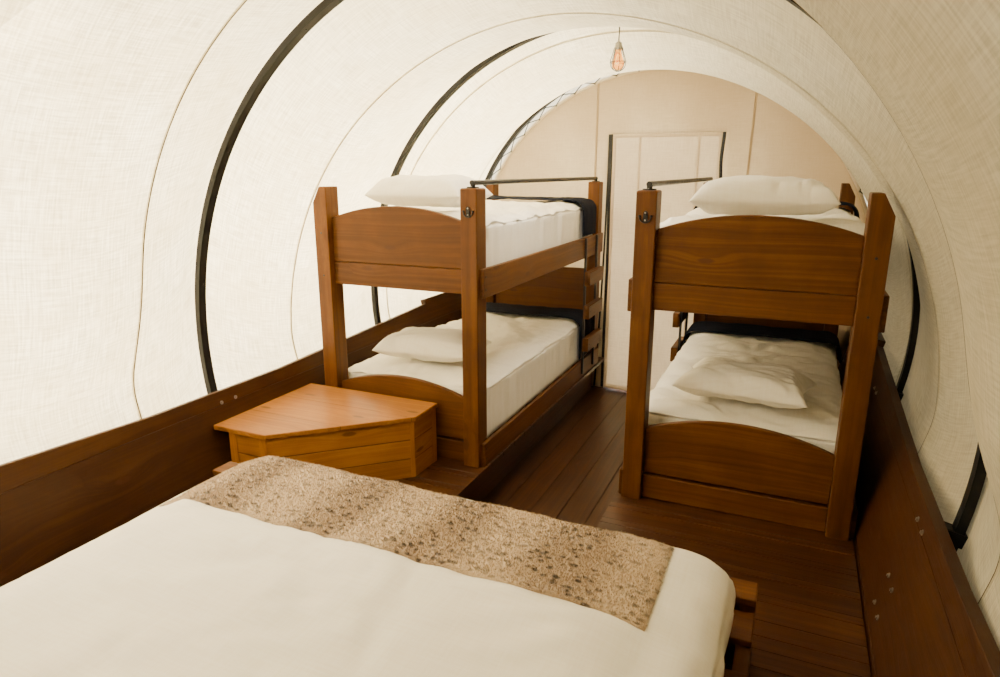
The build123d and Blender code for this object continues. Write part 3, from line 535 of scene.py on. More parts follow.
sill_wood = stained_wood("weathered sill wood", (0.055, 0.030, 0.016), (0.20, 0.115, 0.055), (0.36, 0.22, 0.11), 0.3, 0.5)
floor_varnish = stained_wood(
    "dark floor varnish", (0.022, 0.0070, 0.0014), (0.052, 0.0180, 0.0034), (0.100, 0.0380, 0.0080), 0.25, 0.24, 0.22
)
boards("sills", ["long_sills", "cross_sills"], sill_wood, 0.003, seed=3)
boards("deck_planks", ["floor_deck"], floor_varnish, 0.001, run=1,
       cuts=(0, [0.14 * i - 0.28 for i in range(5)]), seed=4, joint=0.0016, sink=0.002)
low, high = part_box("platforms")
boards("platform_planks", ["platforms"], floor_varnish, 0.001, run=0,
       cuts=(1, [low.y + 0.012 + 0.14 * i for i in range(1, 38)]), seed=5, joint=0.0016, sink=0.002)
boards("platform_joists", ["platform_framing"], floor_varnish, 0.002, seed=6)

# Sides and ends of the box: wide planks that lean out, a top plank with its sheer and end notches, and
# boards between them at each end, bolted and stained like the bunks.
warm_stain = stained_wood(
    "warm brown stain", (0.052, 0.0155, 0.0012), (0.102, 0.0340, 0.0026), (0.169, 0.0620, 0.0056), 0.32, 0.36, 0.05
)
side_stain = stained_wood(
    "side board stain", (0.023, 0.0068, 0.0008), (0.048, 0.0160, 0.0017), (0.082, 0.0305, 0.0038), 0.32, 0.36, 0.05
)
boards("side_planks", ["left_side_planks", "right_side_planks"], side_stain, 0.001, run=1,
       cuts=(2, [0.5203]), seed=8, joint=0.0016)
boards("top_planks", ["left_top_plank", "right_top_plank"], side_stain, 0.003, run=1, seed=9)
boards("end_boards", ["near_end_boards", "far_end_boards"], side_stain, 0.002, run=0,
       cuts=(2, [0.36, 0.49, 0.62, 0.75]), seed=10)

bolt_steel = worn_metal("zinc bolt", (0.42, 0.41, 0.39), (0.22, 0.20, 0.18), 0.32, 1.0, 80.0)
lean = math.radians(13.8)


def repeat_tree(name, unit, inputs):
    """A Geometry Nodes tree that sets one small unit on every point, facing out along the point's 'out'."""
    tree = bpy.data.node_groups.new(name, "GeometryNodeTree")
    tree.interface.new_socket("Points", in_out="INPUT", socket_type="NodeSocketGeometry")
    for key, start in inputs.items():
        tree.interface.new_socket(key, in_out="INPUT", socket_type="NodeSocketFloat").default_value = start
    tree.interface.new_socket("Finish", in_out="INPUT", socket_type="NodeSocketMaterial")
    tree.interface.new_socket("Units", in_out="OUTPUT", socket_type="NodeSocketGeometry")
    given = add_node(tree, "NodeGroupInput").outputs
    shape = unit(tree, given)
    out = add_node(tree, "GeometryNodeInputNamedAttribute", {"Name": "out"}, data_type="FLOAT_VECTOR").outputs[0]
    turn = add_node(tree, "FunctionNodeAlignRotationToVector", {"Vector": out}, axis="Z").outputs[0]
    placed = add_node(
        tree, "GeometryNodeInstanceOnPoints", {"Points": given["Points"], "Instance": shape, "Rotation": turn}
    )
    real = add_node(tree, "GeometryNodeRealizeInstances", {0: placed.outputs[0]})
    done = add_node(tree, "GeometryNodeSetMaterial", {"Geometry": real.outputs[0], "Material": given["Finish"]})
    add_node(tree, "NodeGroupOutput", {0: done.outputs[0]})
    return tree


def repeat_units(name, tree, places, material, slot=None, **sizes):
    """Run a repeating tree over places, each a point and the direction it faces, and keep the plain mesh."""
    mesh = bpy.data.meshes.new(name)
    mesh.from_pydata([place for place, out in places], [], [])
    facing = mesh.attributes.new("out", "FLOAT_VECTOR", "POINT")
    facing.data.foreach_set("vector", np.array([tuple(out) for place, out in places], dtype=float).ravel())
    holder = bpy.data.objects.new(name + "_points", mesh)
    bpy.context.scene.collection.objects.link(holder)
    modifier = holder.modifiers.new("units", "NODES")
    modifier.node_group = tree
    for item in tree.interface.items_tree:
        if item.in_out == "INPUT" and item.name in sizes:
            modifier[item.identifier] = sizes[item.name]
        if item.in_out == "INPUT" and item.name == "Finish":
            modifier[item.identifier] = material
    made = bpy.data.meshes.new_from_object(holder.evaluated_get(bpy.context.evaluated_depsgraph_get()))
    bpy.data.objects.remove(holder)
    made.name = name
    if not made.materials:
        made.materials.append(material)
    piece = show(name, made)
    return piece if slot else piece


def dome_unit(tree, given):
    """A domed screw head: the top of a flattened ball."""
    ball = add_node(
        tree, "GeometryNodeMeshUVSphere",
        {"Segments": 12, "Rings": 6, "Radius": sum_of_geo(tree, "MULTIPLY", given["Width"], 0.5)},
    )
    flat = add_node(tree, "ShaderNodeCombineXYZ", {0: 1.0, 1: 1.0, 2: given["Dome"]})
    shape = add_node(tree, "GeometryNodeTransform", {"Geometry": ball.outputs[0], "Scale": flat.outputs[0]})
    return add_node(tree, "GeometryNodeSetShadeSmooth", {"Geometry": shape.outputs[0]}).outputs[0]


def sum_of_geo(tree, kind, a, b):
    """One step of arithmetic in a geometry tree."""
    return add_node(tree, "ShaderNodeMath", {0: a, 1: b}, operation=kind).outputs[0]


def bolt_unit(tree, given):
    """A hexagon bolt head on its washer."""
    washer = add_node(
        tree, "GeometryNodeMeshCylinder",
        {"Vertices": 16, "Radius": given["Width"], "Depth": sum_of_geo(tree, "MULTIPLY", given["Height"], 0.5)},
    )
    head = add_node(
        tree, "GeometryNodeMeshCylinder",
        {"Vertices": 6, "Radius": sum_of_geo(tree, "MULTIPLY", given["Width"], 0.62), "Depth": given["Height"]},
    )
    raised = add_node(tree, "ShaderNodeCombineXYZ", {2: sum_of_geo(tree, "MULTIPLY", given["Height"], 0.6)})
    lifted = add_node(tree, "GeometryNodeTransform", {"Geometry": head.outputs[0], "Translation": raised.outputs[0]})
    joined = add_node(tree, "GeometryNodeJoinGeometry")
    tree.links.new(washer.outputs[0], joined.inputs[0])
    tree.links.new(lifted.outputs[0], joined.inputs[0])
    return joined.outputs[0]


dome_heads = repeat_tree("domed heads", dome_unit, {"Width": 0.010, "Dome": 0.45})
bolt_heads = repeat_tree("bolt heads", bolt_unit, {"Width": 0.012, "Height": 0.006})
bow_ys = [-2.64, -1.32, 0.0, 1.32, 2.64]
side_bolts = []
for bow_y in bow_ys:
    for z in (0.890, 0.690, 0.590):
        for dy in (-0.040, 0.040):
            if abs(bow_y + dy) > 2.655:
                continue
            for side in (-1, 1):
                x = side * (1.163 + (z - 0.229) * math.tan(lean) - 0.001)
                side_bolts.append(((x, bow_y + dy, z), (-side * math.cos(lean), 0, math.sin(lean))))
repeat_units("side_bolts", bolt_heads, side_bolts, bolt_steel, "black_steel", Width=0.0085, Height=0.005)

# Bows: black painted steel tube bent to a round top with straight legs, each leg held to the side board
# by three straps over spacer blocks. The CAD solids stay; they get paint, and their screws.
bow_paint = worn_metal("black bow paint", (0.0045, 0.0045, 0.0048), (0.016, 0.015, 0.014), 0.42, 0.0, 9.0)
bow_paint.node_tree.nodes["Principled BSDF"].inputs["Specular IOR Level"].default_value = 0.22
for node in ["bow_clamps"] + [f"bow_{number}" for number in range(1, 6)]:
    solid = nodes[node]
    solid.data.materials.clear()
    solid.data.materials.append(bow_paint)
bow_screws = []
for bow_y in bow_ys:
    for step in range(-3, 4):
        a = math.radians(90 + 24 * step + 8)
        bow_screws.append((
            (1.4267 * math.cos(a), bow_y, 1.1576 + 1.4267 * math.sin(a)), (-math.cos(a), 0, -math.sin(a))
        ))
repeat_units("bow_screws", dome_heads, bow_screws, bow_paint, "black_steel", Width=0.009, Dome=0.4)

# Cover: cotton canvas in widths sewn together across the wagon, stretched over the bows, where it touches
# them, and sagging between them. It hangs down outside the boards to a hem. Cream, stained with use.
bow_skin_r = 1.4522
crown_z = 1.1576
board_foot_x = 1.1999
board_foot_z = 0.2199
board_top_z = 1.0286


def even_line(dense, steps=88):
    """The same line with its points evenly spaced."""
    dense = np.array(dense)
    length = np.concatenate([[0], np.cumsum(np.linalg.norm(np.diff(dense, axis=0), axis=1))])
    wanted = np.linspace(0, length[-1], steps + 1)
    return np.stack([np.interp(wanted, length, dense[:, 0]), np.interp(wanted, length, dense[:, 1])], axis=1)


def line_over_bow():
    """Half the cover's cross-section over a bow, crown to hem: arc, short run, bend, straight side."""
    radius = bow_skin_r + 0.002
    turn = math.radians(45)
    end = (radius * math.cos(turn), crown_z + radius * math.sin(turn))
    foot_x = board_foot_x + (0.0713 + 0.002) / math.cos(lean)
    level = end[0] + end[1] * math.tan(turn) - foot_x + board_foot_z * math.tan(lean)
    corner_z = level / (math.tan(lean) + math.tan(turn))
    corner = (foot_x + (corner_z - board_foot_z) * math.tan(lean), corner_z)
    run = 0.004
    bend_r = (math.dist(corner, end) - run) / math.tan((turn + lean) / 2)
    bend_end = (end[0] + run * math.sin(turn), end[1] - run * math.cos(turn))
    centre = (bend_end[0] - bend_r * math.cos(turn), bend_end[1] - bend_r * math.sin(turn))
    spring = (centre[0] + bend_r * math.cos(lean), centre[1] - bend_r * math.sin(lean))
    dense = []
    for i in range(61):
        a = math.pi / 2 - (math.pi / 2 - turn) * i / 60
        dense.append((radius * math.cos(a), crown_z + radius * math.sin(a)))
    for i in range(41):
        a = turn - (turn + lean) * i / 40
        dense.append((centre[0] + bend_r * math.cos(a), centre[1] + bend_r * math.sin(a)))
    dense.append((spring[0] - (spring[1] - 0.600) * math.tan(lean), 0.600))
    return even_line(dense)


def line_in_bay(radius, centre_z, standoff, pinch):
    """Half a bay's cross-section where it sags most: arc, a run to the board's top edge, straight hem."""
    foot_x = board_foot_x + standoff / math.cos(lean)
    rail = (foot_x + (board_top_z + 0.011 - board_foot_z) * math.tan(lean), board_top_z + 0.011)
    reach = math.dist(rail, (0, centre_z))
    leave = math.atan2(rail[1] - centre_z, rail[0]) + math.acos(radius / reach)
    dense = []
    for i in range(81):
        a = math.pi / 2 - (math.pi / 2 - leave) * i / 80
        dense.append((radius * math.cos(a), centre_z + radius * math.sin(a)))
    spring = dense[-1]
    for i in range(1, 41):
        t = i / 40
        pull = pinch * math.sin(math.pi * min(1.0, t * 1.0)) ** 2
        dense.append((spring[0] + (rail[0] - spring[0]) * t - pull, spring[1] + (rail[1] - spring[1]) * t))
    dense.append((rail[0] - (rail[1] - 0.600) * math.tan(lean), 0.600))
    fine = even_line(dense, 352)
    soft = fine.copy()
    for i in range(1, len(fine) - 1):
        reach_i = min(9, i, len(fine) - 1 - i)
        soft[i] = fine[i - reach_i:i + reach_i + 1].mean(axis=0)
    return even_line(soft)


over_bow = line_over_bow()
rear_bay = line_in_bay(1.270, 1.2790, 0.010, 0.028)
front_bay = line_in_bay(1.422, 1.0326, 0.022, 0.0)


def cover_line(y):
    """Half the cover's cross-section at a station."""
    slung = rear_bay if y < 0 else front_bay
    return over_bow + (slung - over_bow) * sag_at(y)


def sag_at(y):
    """Share of the full sag at a station between two bows."""
    pitch = 1.320
    part_way = ((y + 2.64) % pitch) / pitch
    if y <= -2.64 or y >= 2.64:
        return 0.0
    flat = 0.020 / pitch
    inside = min(max((part_way - flat) / (1 - 2 * flat), 0.0), 1.0)
    return 4 * inside * (1 - inside)


def cloth_material(name, colour, stain, rough, weave=900.0, depth=0.0004, glow=0.0, sheen=0.0, patches=0.6,
                   streak=0.86, wrinkles=0.0):
    """Woven cloth: crossed threads, uneven colour, broad stains and wrinkles. Light passes through where glow is set."""
    made, tree, shader = finish_material(name, roughness=rough, sheen_weight=sheen, sheen_roughness=0.4)
    place = add_node(tree, "ShaderNodeAttribute", attribute_name="cloth").outputs["Vector"]
    threads = []
    for direction in ("X", "Y"):
        threads.append(add_node(
            tree, "ShaderNodeTexWave",
            {"Vector": place, "Scale": weave / 6.2832},
            bands_direction=direction,
        ).outputs["Fac"])
    crossed = sum_of(tree, "ADD", threads[0], threads[1])
    mask, fine = worn(tree, 2.6, patches, place)
    slub = speckle(tree, add_node(
        tree, "ShaderNodeVectorMath", {0: place, 1: (9.0, 160.0, 1.0)}, operation="MULTIPLY").outputs[0], 1.0, 1.0)
    slub_2 = speckle(tree, add_node(
        tree, "ShaderNodeVectorMath", {0: place, 1: (160.0, 9.0, 1.0)}, operation="MULTIPLY").outputs[0], 1.0, 2.0)
    uneven = add_node(
        tree, "ShaderNodeMapRange",
        {"Value": sum_of(tree, "MULTIPLY", sum_of(tree, "ADD", slub, slub_2), 0.5), "From Min": 0.34, "From Max": 0.62},
    ).outputs[0]
    dark = (colour[0] * streak, colour[1] * streak * 0.975, colour[2] * streak * 0.93, 1)
    tint = blend_colours(tree, uneven, dark, (*colour, 1))
    tint = blend_colours(tree, mask, tint, (*stain, 1))
    tree.links.new(tint, shader.inputs["Base Color"])
    height = sum_of(tree, "MULTIPLY_ADD", uneven, 0.8 * depth, sum_of(tree, "MULTIPLY", crossed, depth))
    if wrinkles:
        folds = add_node(
            tree, "ShaderNodeTexNoise", {"Vector": place, "Scale": 6.5, "Detail": 2.0, "Roughness": 0.5, "Distortion": 0.9},
            noise_type="RIDGED_MULTIFRACTAL", normalize=False,
        )
        height = sum_of(tree, "MULTIPLY_ADD", folds.outputs["Fac"], -wrinkles, height)
    bump(tree, shader, height, 1.0, 0.6)
    if glow:
        through = add_node(tree, "ShaderNodeBsdfTranslucent", {"Color": tint})
        mixed = add_node(tree, "ShaderNodeMixShader", {0: glow, 1: shader.outputs[0], 2: through.outputs[0]})
        tree.links.new(mixed.outputs[0], tree.nodes["Material Output"].inputs["Surface"])
    return made


def lay_out(mesh, flat_places):
    """Keep each point's place on the flat cloth, in metres, for the weave to follow."""
    flat_places = np.array(flat_places, dtype=float)
    mesh.attributes.new("cloth", "FLOAT_VECTOR", "POINT").data.foreach_set("vector", flat_places.ravel())


def grid_sheet(name, rows, flat_rows, material, thick=0.0, smooth=True):
    """One continuous sheet from rows of points, with its flat layout, and a thickness if given."""
    count = len(rows[0])
    verts = [tuple(place) for row in rows for place in row]
    faces = []
    for i in range(len(rows) - 1):
        for j in range(count - 1):
            a = i * count + j
            faces.append((a, a + 1, a + count + 1, a + count))
    mesh = bpy.data.meshes.new(name)
    mesh.from_pydata(verts, [], faces)
    lay_out(mesh, [(u, v, 0.0) for row in flat_rows for u, v in row])
    if smooth:
        mesh.shade_smooth()
    piece = show(name, mesh, material)
    if thick:
        shell = piece.modifiers.new("thickness", "SOLIDIFY")
        shell.thickness = thick
        shell.offset = 0.0
    return piece


canvas_cream = cloth_material(
    "cream canvas", (0.84, 0.785, 0.635), (0.66, 0.57, 0.39), 0.85, 1500.0, 0.0005, glow=0.62, patches=0.5,
    streak=0.70,
)
stations = [-2.667]
for first, last in zip(bow_ys[:-1], bow_ys[1:]):
    stations += [first - 0.018, first, first + 0.018]
    stations += [first + 0.018 + (last - first - 0.036) * i / 26 for i in range(1, 26)]
stations += [2.64 - 0.018, 2.64, 2.64 + 0.018, 2.667]
seam_ys = [-2.22, -1.30, -0.38, 0.54, 1.46, 2.38]
cover_rows = []
cover_flat = []
for y in stations:
    half = cover_line(y)
    both = np.concatenate([half[::-1] * (1, 1), half[1:] * (-1, 1)])
    steps = np.linalg.norm(np.diff(both, axis=0), axis=1)
    run = np.concatenate([[0], np.cumsum(steps)])
    run = run - run[-1] / 2
    row = []
    loose = min(1.0, sag_at(y) * 1.4)
    for (x, z), s in zip(both, run):
        ripple = noise.noise(Vector((s * 1.1, y * 2.3, 3.0))) * 0.010 + noise.noise(Vector((s * 0.5, y * 9.0, 8.0))) * 0.003
        out = Vector((x, 0, z - crown_z)).normalized() if z > crown_z else Vector((math.copysign(1, x), 0, 0))
        lift = ripple * loose * (1.0 if z > 1.1 else 0.4)
        row.append((x + out.x * lift, y, z + out.z * lift))
    cover_rows.append(row)
    cover_flat.append([(s, y) for s in run])
cover = grid_sheet("canvas_cover", cover_rows, cover_flat, canvas_cream, 0.0016)
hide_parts("cover")

seam_thread = cloth_material("brown seam thread", (0.10, 0.065, 0.035), (0.05, 0.03, 0.02), 0.9, 3000.0, 0.0002)
cover_at = np.array(cover_rows)
station_y = cover_at[:, 0, 1]
seam_rows = []


def cover_points(y, lift):
    """A line round the cover at a station, set in from its inner face."""
    i = int(np.clip(np.searchsorted(station_y, y) - 1, 0, len(station_y) - 2))
    share = (y - station_y[i]) / (station_y[i + 1] - station_y[i])
    line = cover_at[i] * (1 - share) + cover_at[i + 1] * share
    middle = np.array([0, 0, crown_z])
    inward = middle - line
    inward[:, 1] = 0
    inward /= np.linalg.norm(inward, axis=1)[:, None]
    return line + inward * lift


def ribbon(name, lines, material, thick=0.0):
    """A strip between two or more lines of points, such as a seam or hem."""
    rows = [[tuple(place) for place in line] for line in lines]
    flat = []
    for index, line in enumerate(rows):
        total = 0.0
        out = []
        for a, b in zip([line[0]] + line[:-1], line):
            total += math.dist(a, b)
            out.append((total, index * 0.01))
        flat.append(out)
    piece = grid_sheet(name, rows, flat, material, thick)
    return piece


for index, y in enumerate(seam_ys):
    ribbon(
        f"cover_seam_{index + 1}",
        [cover_points(y - 0.0075, 0.0009), cover_points(y - 0.003, 0.0026), cover_points(y + 0.003, 0.0026),
         cover_points(y + 0.0075, 0.0009)],
        canvas_cream,
    )
    thread = cover_points(y, 0.0034)
    ribbon(
        f"cover_stitching_{index + 1}", [thread + (0, -0.0022, 0), thread + (0, 0.0022, 0)], seam_thread
    )
for y, name in ((2.6665, "far"), (-2.6665, "near")):
    fold = []
    for radius in (1.4535, 1.4300, 1.4000, 1.3640):
        fold.append([
            (radius * math.cos(a), y - math.copysign(0.0012 * noise.noise(Vector((a * 9, radius * 20, 1.0))), y),
             crown_z + radius * math.sin(a)) for a in np.linspace(math.radians(-4.0), math.radians(184.0), 120)
        ])
    ribbon(f"cover_{name}_fold", fold, canvas_cream)

# End walls: tan canvas laced inside the last bow at each end, with sewn upright seams and a rolled cream
# hem with eyelets along the arch. The far one is cut out for the door.
wall_radius = 1.3919
shoulder_z = 1.0366
foot_z = 0.279
wall_tan = cloth_material(
    "tan wall canvas", (0.80, 0.705, 0.53), (0.56, 0.455, 0.30), 0.88, 1500.0, 0.0004, glow=0.55, patches=0.6
)
# Painted shade: from a point by the door, the wall's tan darkens towards its edges, foot and arch, standing in for the
# shade that falls there; the light through the canvas takes the same darkened colour.
weathered = wall_tan.node_tree
place = add_node(weathered, "ShaderNodeAttribute", attribute_name="cloth").outputs["Vector"]
from_door = add_node(weathered, "ShaderNodeVectorMath", {0: place, 1: (-0.10, 1.55, 0.0)}, operation="SUBTRACT")
spread = add_node(weathered, "ShaderNodeVectorMath", {0: from_door.outputs[0], 1: (0.75, 1.0, 0.0)}, operation="MULTIPLY")
distance = add_node(weathered, "ShaderNodeVectorMath", {0: spread.outputs[0]}, operation="LENGTH").outputs["Value"]
uneven_distance = sum_of(weathered, "MULTIPLY_ADD", speckle(weathered, place, 2.4, 3.0), 0.5, distance)
painted_rim_shade = add_node(weathered, "ShaderNodeMapRange", {"Value": uneven_distance, "From Min": 0.72, "From Max": 1.35, "To Max": 0.75})
base = wall_tan.node_tree.nodes["Principled BSDF"].inputs["Base Color"]
unshaded_tan = base.links[0].from_socket
rim_shaded_tan = blend_colours(weathered, painted_rim_shade.outputs[0], unshaded_tan, (0.50, 0.385, 0.235, 1))
weathered.links.new(rim_shaded_tan, base)
for item in weathered.nodes:
    if item.bl_idname == "ShaderNodeBsdfTranslucent":
        weathered.links.new(rim_shaded_tan, item.inputs["Color"])
hem_cream = cloth_material("cream hem", (0.82, 0.74, 0.59), (0.60, 0.50, 0.36), 0.85, 1500.0, 0.0004, glow=0.3)


def wall_half(z):
    """Half width of an end wall at a height."""
    if z >= shoulder_z:
        return math.sqrt(max(0.0, wall_radius**2 - (z - crown_z) ** 2))
    return 1.163 + (z - 0.229) * math.tan(lean) - 0.008


def slack(x, z, seed):
    """Soft wrinkles in a hung sheet, in metres."""
    broad = noise.noise(Vector((x * 1.3, z * 0.8, seed)))
    folds = noise.noise(Vector((x * 6.0, z * 1.2, seed + 5.0)))
    return 0.004 * broad + 0.0018 * folds


def wall_sheet(name, y, door=None):
    """An end wall in upright columns; those of the door stop above it."""
    heights = list(np.linspace(foot_z, shoulder_z, 16))
    if door:
        heights = sorted(set(heights + [door[2]]))
    start = math.asin((shoulder_z + 0.003 - crown_z) / wall_radius)
    for i in range(56):
        a = start + (math.pi / 2 - start) * i / 55
        heights.append(crown_z + wall_radius * math.sin(a))
    heights = sorted(heights)
    if door:
        heights = [z for z in heights if abs(z - door[2]) > 0.006 or z == door[2]]
    verts = []
    faces = []
    columns = (18, 14, 18)
    width = sum(columns) + 1
    for z in heights:
        half = wall_half(z)
        left, right = (door[0], door[1]) if door else (-0.4, 0.4)
        left = max(left, -0.6 * half)
        right = min(right, 0.6 * half)
        xs = np.concatenate([
            np.linspace(-half, left, columns[0] + 1)[:-1], np.linspace(left, right, columns[1] + 1)[:-1],
            np.linspace(right, half, columns[2] + 1),
        ])
        verts += [(x, y + slack(x, z, y), z) for x in xs]
    for i in range(len(heights) - 1):
        for j in range(width - 1):
            if door and heights[i + 1] <= door[2] + 1e-6 and columns[0] <= j < columns[0] + columns[1]:
                continue
            a = i * width + j
            faces.append((a, a + 1, a + width + 1, a + width))
    mesh = bpy.data.meshes.new(name)
    mesh.from_pydata(verts, [], faces)
    lay_out(mesh, [(x, z, 0.0) for x, _, z in verts])
    work = bmesh.new()
    work.from_mesh(mesh)
    bmesh.ops.remove_doubles(work, verts=work.verts, dist=1e-5)
    loose = [v for v in work.verts if not v.link_faces]
    bmesh.ops.delete(work, geom=loose, context="VERTS")
    bmesh.ops.recalc_face_normals(work, faces=work.faces)
    work.to_mesh(mesh)
    work.free()
    mesh.shade_smooth()
    piece = show(name, mesh, wall_tan)
    shell = piece.modifiers.new("thickness", "SOLIDIFY")
    shell.thickness = 0.0016
    shell.offset = 0.0
    return piece


door_left = -0.325
door_right = 0.425
door_top = 2.126
far_wall = wall_sheet("far_wall_canvas", 2.640, (door_left, door_right, door_top))
near_wall = wall_sheet("near_wall_canvas", -2.640)
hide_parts("far_end_wall")
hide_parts("near_end_wall")


def stitch_tree():
    """A Geometry Nodes tree that sews stitches along a line of edges."""
    tree = bpy.data.node_groups.new("stitches", "GeometryNodeTree")
    tree.interface.new_socket("Line", in_out="INPUT", socket_type="NodeSocketGeometry")
    for key, start in (("Pitch", 0.008), ("Length", 0.005), ("Thread", 0.0014)):
        tree.interface.new_socket(key, in_out="INPUT", socket_type="NodeSocketFloat").default_value = start
    tree.interface.new_socket("Finish", in_out="INPUT", socket_type="NodeSocketMaterial")
    tree.interface.new_socket("Units", in_out="OUTPUT", socket_type="NodeSocketGeometry")
    given = add_node(tree, "NodeGroupInput").outputs
    path = add_node(tree, "GeometryNodeMeshToCurve", {0: given["Line"]})
    spaced = add_node(
        tree, "GeometryNodeResampleCurve", {"Curve": path.outputs[0], "Length": given["Pitch"]}, mode="LENGTH"
    )
    tangent = add_node(tree, "GeometryNodeInputTangent").outputs[0]
    turn = add_node(tree, "FunctionNodeAlignRotationToVector", {"Vector": tangent}, axis="Z").outputs[0]
    stitch = add_node(
        tree, "GeometryNodeMeshCylinder", {"Vertices": 5, "Radius": given["Thread"], "Depth": given["Length"]}
    )
    placed = add_node(
        tree, "GeometryNodeInstanceOnPoints", {"Points": spaced.outputs[0], "Instance": stitch.outputs[0], "Rotation": turn}
    )
    real = add_node(tree, "GeometryNodeRealizeInstances", {0: placed.outputs[0]})
    done = add_node(tree, "GeometryNodeSetMaterial", {"Geometry": real.outputs[0], "Material": given["Finish"]})
    add_node(tree, "NodeGroupOutput", {0: done.outputs[0]})
    return tree


stitches = stitch_tree()


def sew(name, lines, material, pitch=0.008, length=0.005, thread=0.0008):
    """Stitches along one or more lines of points."""
    verts = []
    edges = []
    for line in lines:
        start = len(verts)
        verts += [tuple(place) for place in line]
        edges += [(start + i, start + i + 1) for i in range(len(line) - 1)]
    mesh = bpy.data.meshes.new(name)
    mesh.from_pydata(verts, edges, [])
    holder = bpy.data.objects.new(name + "_line", mesh)
    bpy.context.scene.collection.objects.link(holder)
    modifier = holder.modifiers.new("stitches", "NODES")
    modifier.node_group = stitches
    sizes = {"Pitch": pitch, "Length": length, "Thread": thread, "Finish": material}
    for item in stitches.interface.items_tree:
        if item.in_out == "INPUT" and item.name in sizes:
            modifier[item.identifier] = sizes[item.name]
    made = bpy.data.meshes.new_from_object(holder.evaluated_get(bpy.context.evaluated_depsgraph_get()))
    bpy.data.objects.remove(holder)
    made.name = name
    if not made.materials:
        made.materials.append(material)
    return show(name, made)


def upright_tape(name, x_low, x_high, z_low, z_high, y, width, material, lift=0.003):
    """A flat felled seam or tape that runs up an end wall, on the side towards the middle of the wagon."""
    side = -1 if y > 0 else 1
    left = []
    right = []
    for i in range(25):
        share = i / 24
        x = x_low + (x_high - x_low) * share
        z = z_low + (z_high - z_low) * share
        left.append((x - width / 2, y + slack(x - width / 2, z, y) + side * 0.001, z))
        right.append((x + width / 2, y + slack(x + width / 2, z, y) + side * 0.001, z))
    mids = [
        [(a[0] * (1 - t) + b[0] * t, a[1] * (1 - t) + b[1] * t + side * (lift - 0.001), a[2]) for a, b in zip(left, right)]
        for t in (0.15, 0.85)
    ]
    return ribbon(name, [left, mids[0], mids[1], right], material)


wall_seams = [
    upright_tape("far_wall_seam_left", -0.444, -0.431, foot_z + 0.01, 2.475, 2.640, 0.016, wall_tan),
    upright_tape("far_wall_seam_right", 0.555, 0.598, foot_z + 0.01, 2.405, 2.640, 0.016, wall_tan),
    upright_tape("near_wall_seam_left", -0.45, -0.45, foot_z + 0.01, 2.465, -2.640, 0.016, wall_tan),
    upright_tape("near_wall_seam_right", 0.45, 0.45, foot_z + 0.01, 2.465, -2.640, 0.016, wall_tan),
]
far_pieces = wall_seams[:2]
near_pieces = wall_seams[2:]
for y, pieces, name in ((2.640, far_pieces, "far"), (-2.640, near_pieces, "near")):
    side = -1 if y > 0 else 1
    rolled = []
    for radius, lift in ((1.3915, 0.001), (1.3895, 0.0055), (1.3825, 0.0072), (1.3745, 0.0055), (1.3700, 0.001)):
        rolled.append([
            (radius * math.cos(a), y + side * lift, crown_z + radius * math.sin(a))
            for a in np.linspace(math.radians(-4.5), math.radians(184.5), 150)
        ])
    pieces.append(ribbon(f"{name}_wall_hem", rolled, hem_cream))


def eyelet_unit(tree, given):
    """A pressed eyelet: a small ring."""
    circle = add_node(tree, "GeometryNodeCurvePrimitiveCircle", {"Resolution": 14, "Radius": given["Width"]})
    profile = add_node(tree, "GeometryNodeCurvePrimitiveCircle", {"Resolution": 6, "Radius": given["Rim"]})
    ring = add_node(tree, "GeometryNodeCurveToMesh", {"Curve": circle.outputs[0], "Profile Curve": profile.outputs[0]})
    return add_node(tree, "GeometryNodeSetShadeSmooth", {"Geometry": ring.outputs[0]}).outputs[0]


eyelet_rings = repeat_tree("eyelets", eyelet_unit, {"Width": 0.006, "Rim": 0.0018})
lace_black = cloth_material("black lace cord", (0.014, 0.013, 0.013), (0.04, 0.038, 0.035), 0.8, 4000.0, 0.0002)
lace_turns = 28
for y, name in ((2.640, "far"), (-2.640, "near")):
    side = -1 if y > 0 else 1
    places = []
    path = []
    for turn in range(2 * lace_turns + 1):
        a = math.radians(turn * 180 / (2 * lace_turns))
        c, s = math.cos(a), math.sin(a)
        if turn % 2 == 0:
            places.append(((1.3799 * c, y + side * 0.0080, crown_z + 1.3799 * s), (0, side, 0)))
            for radius, depth in ((1.3835, 0.0098), (1.3799, 0.0070), (1.3835, 0.0098)):
                path.append((radius * c, y + side * depth, crown_z + radius * s))
        else:
            for radius, depth in ((1.4215, 0.0045), (1.4235, -0.0235), (1.4285, -0.0240), (1.4235, -0.0235), (1.4215, 0.0045)):
                path.append((radius * c, y + side * depth, crown_z + radius * s))
    rings = repeat_units(f"{name}_wall_eyelets", eyelet_rings, places, lamp_brass, "canvas", Width=0.0055, Rim=0.0018)
    lace = wire(f"{name}_lacing", [path], 0.0034, lace_black, sides=2)
    (far_pieces if y > 0 else near_pieces).append(rings)
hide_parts("end_lacing")

# Door flap: a paler canvas flap that zips into the far wall down both sides, with a hem all round, two
# sewn upright seams, and its foot hanging a little loose.
flap_cream = cloth_material(
    "cream door canvas", (0.84, 0.745, 0.59), (0.64, 0.53, 0.38), 0.86, 1500.0, 0.0004, glow=0.50, patches=0.5
)
flap_left = door_left + 0.006
flap_right = door_right - 0.006
flap_top = door_top - 0.0003


def flap_depth(x, z):
    """How far the flap stands in or out, with pulls from its top right corner and a loose foot."""
    depth = 0.0025 * noise.noise(Vector((x * 3.0, z * 1.5, 21.0)))
    pull = noise.noise(Vector(((x - 0.4) * 9.0 + (2.1 - z) * 5.0, z * 2.0, 4.0)))
    near_corner = max(0.0, 1.0 - math.dist((x, z), (0.40, 2.05)) / 0.55)
    depth += 0.007 * pull * near_corner
    loose = max(0.0, 1.0 - (z - foot_z) / 0.45)
    depth += 0.006 * loose * math.sin(x * 16.0 + 0.6)
    return 2.640 + depth


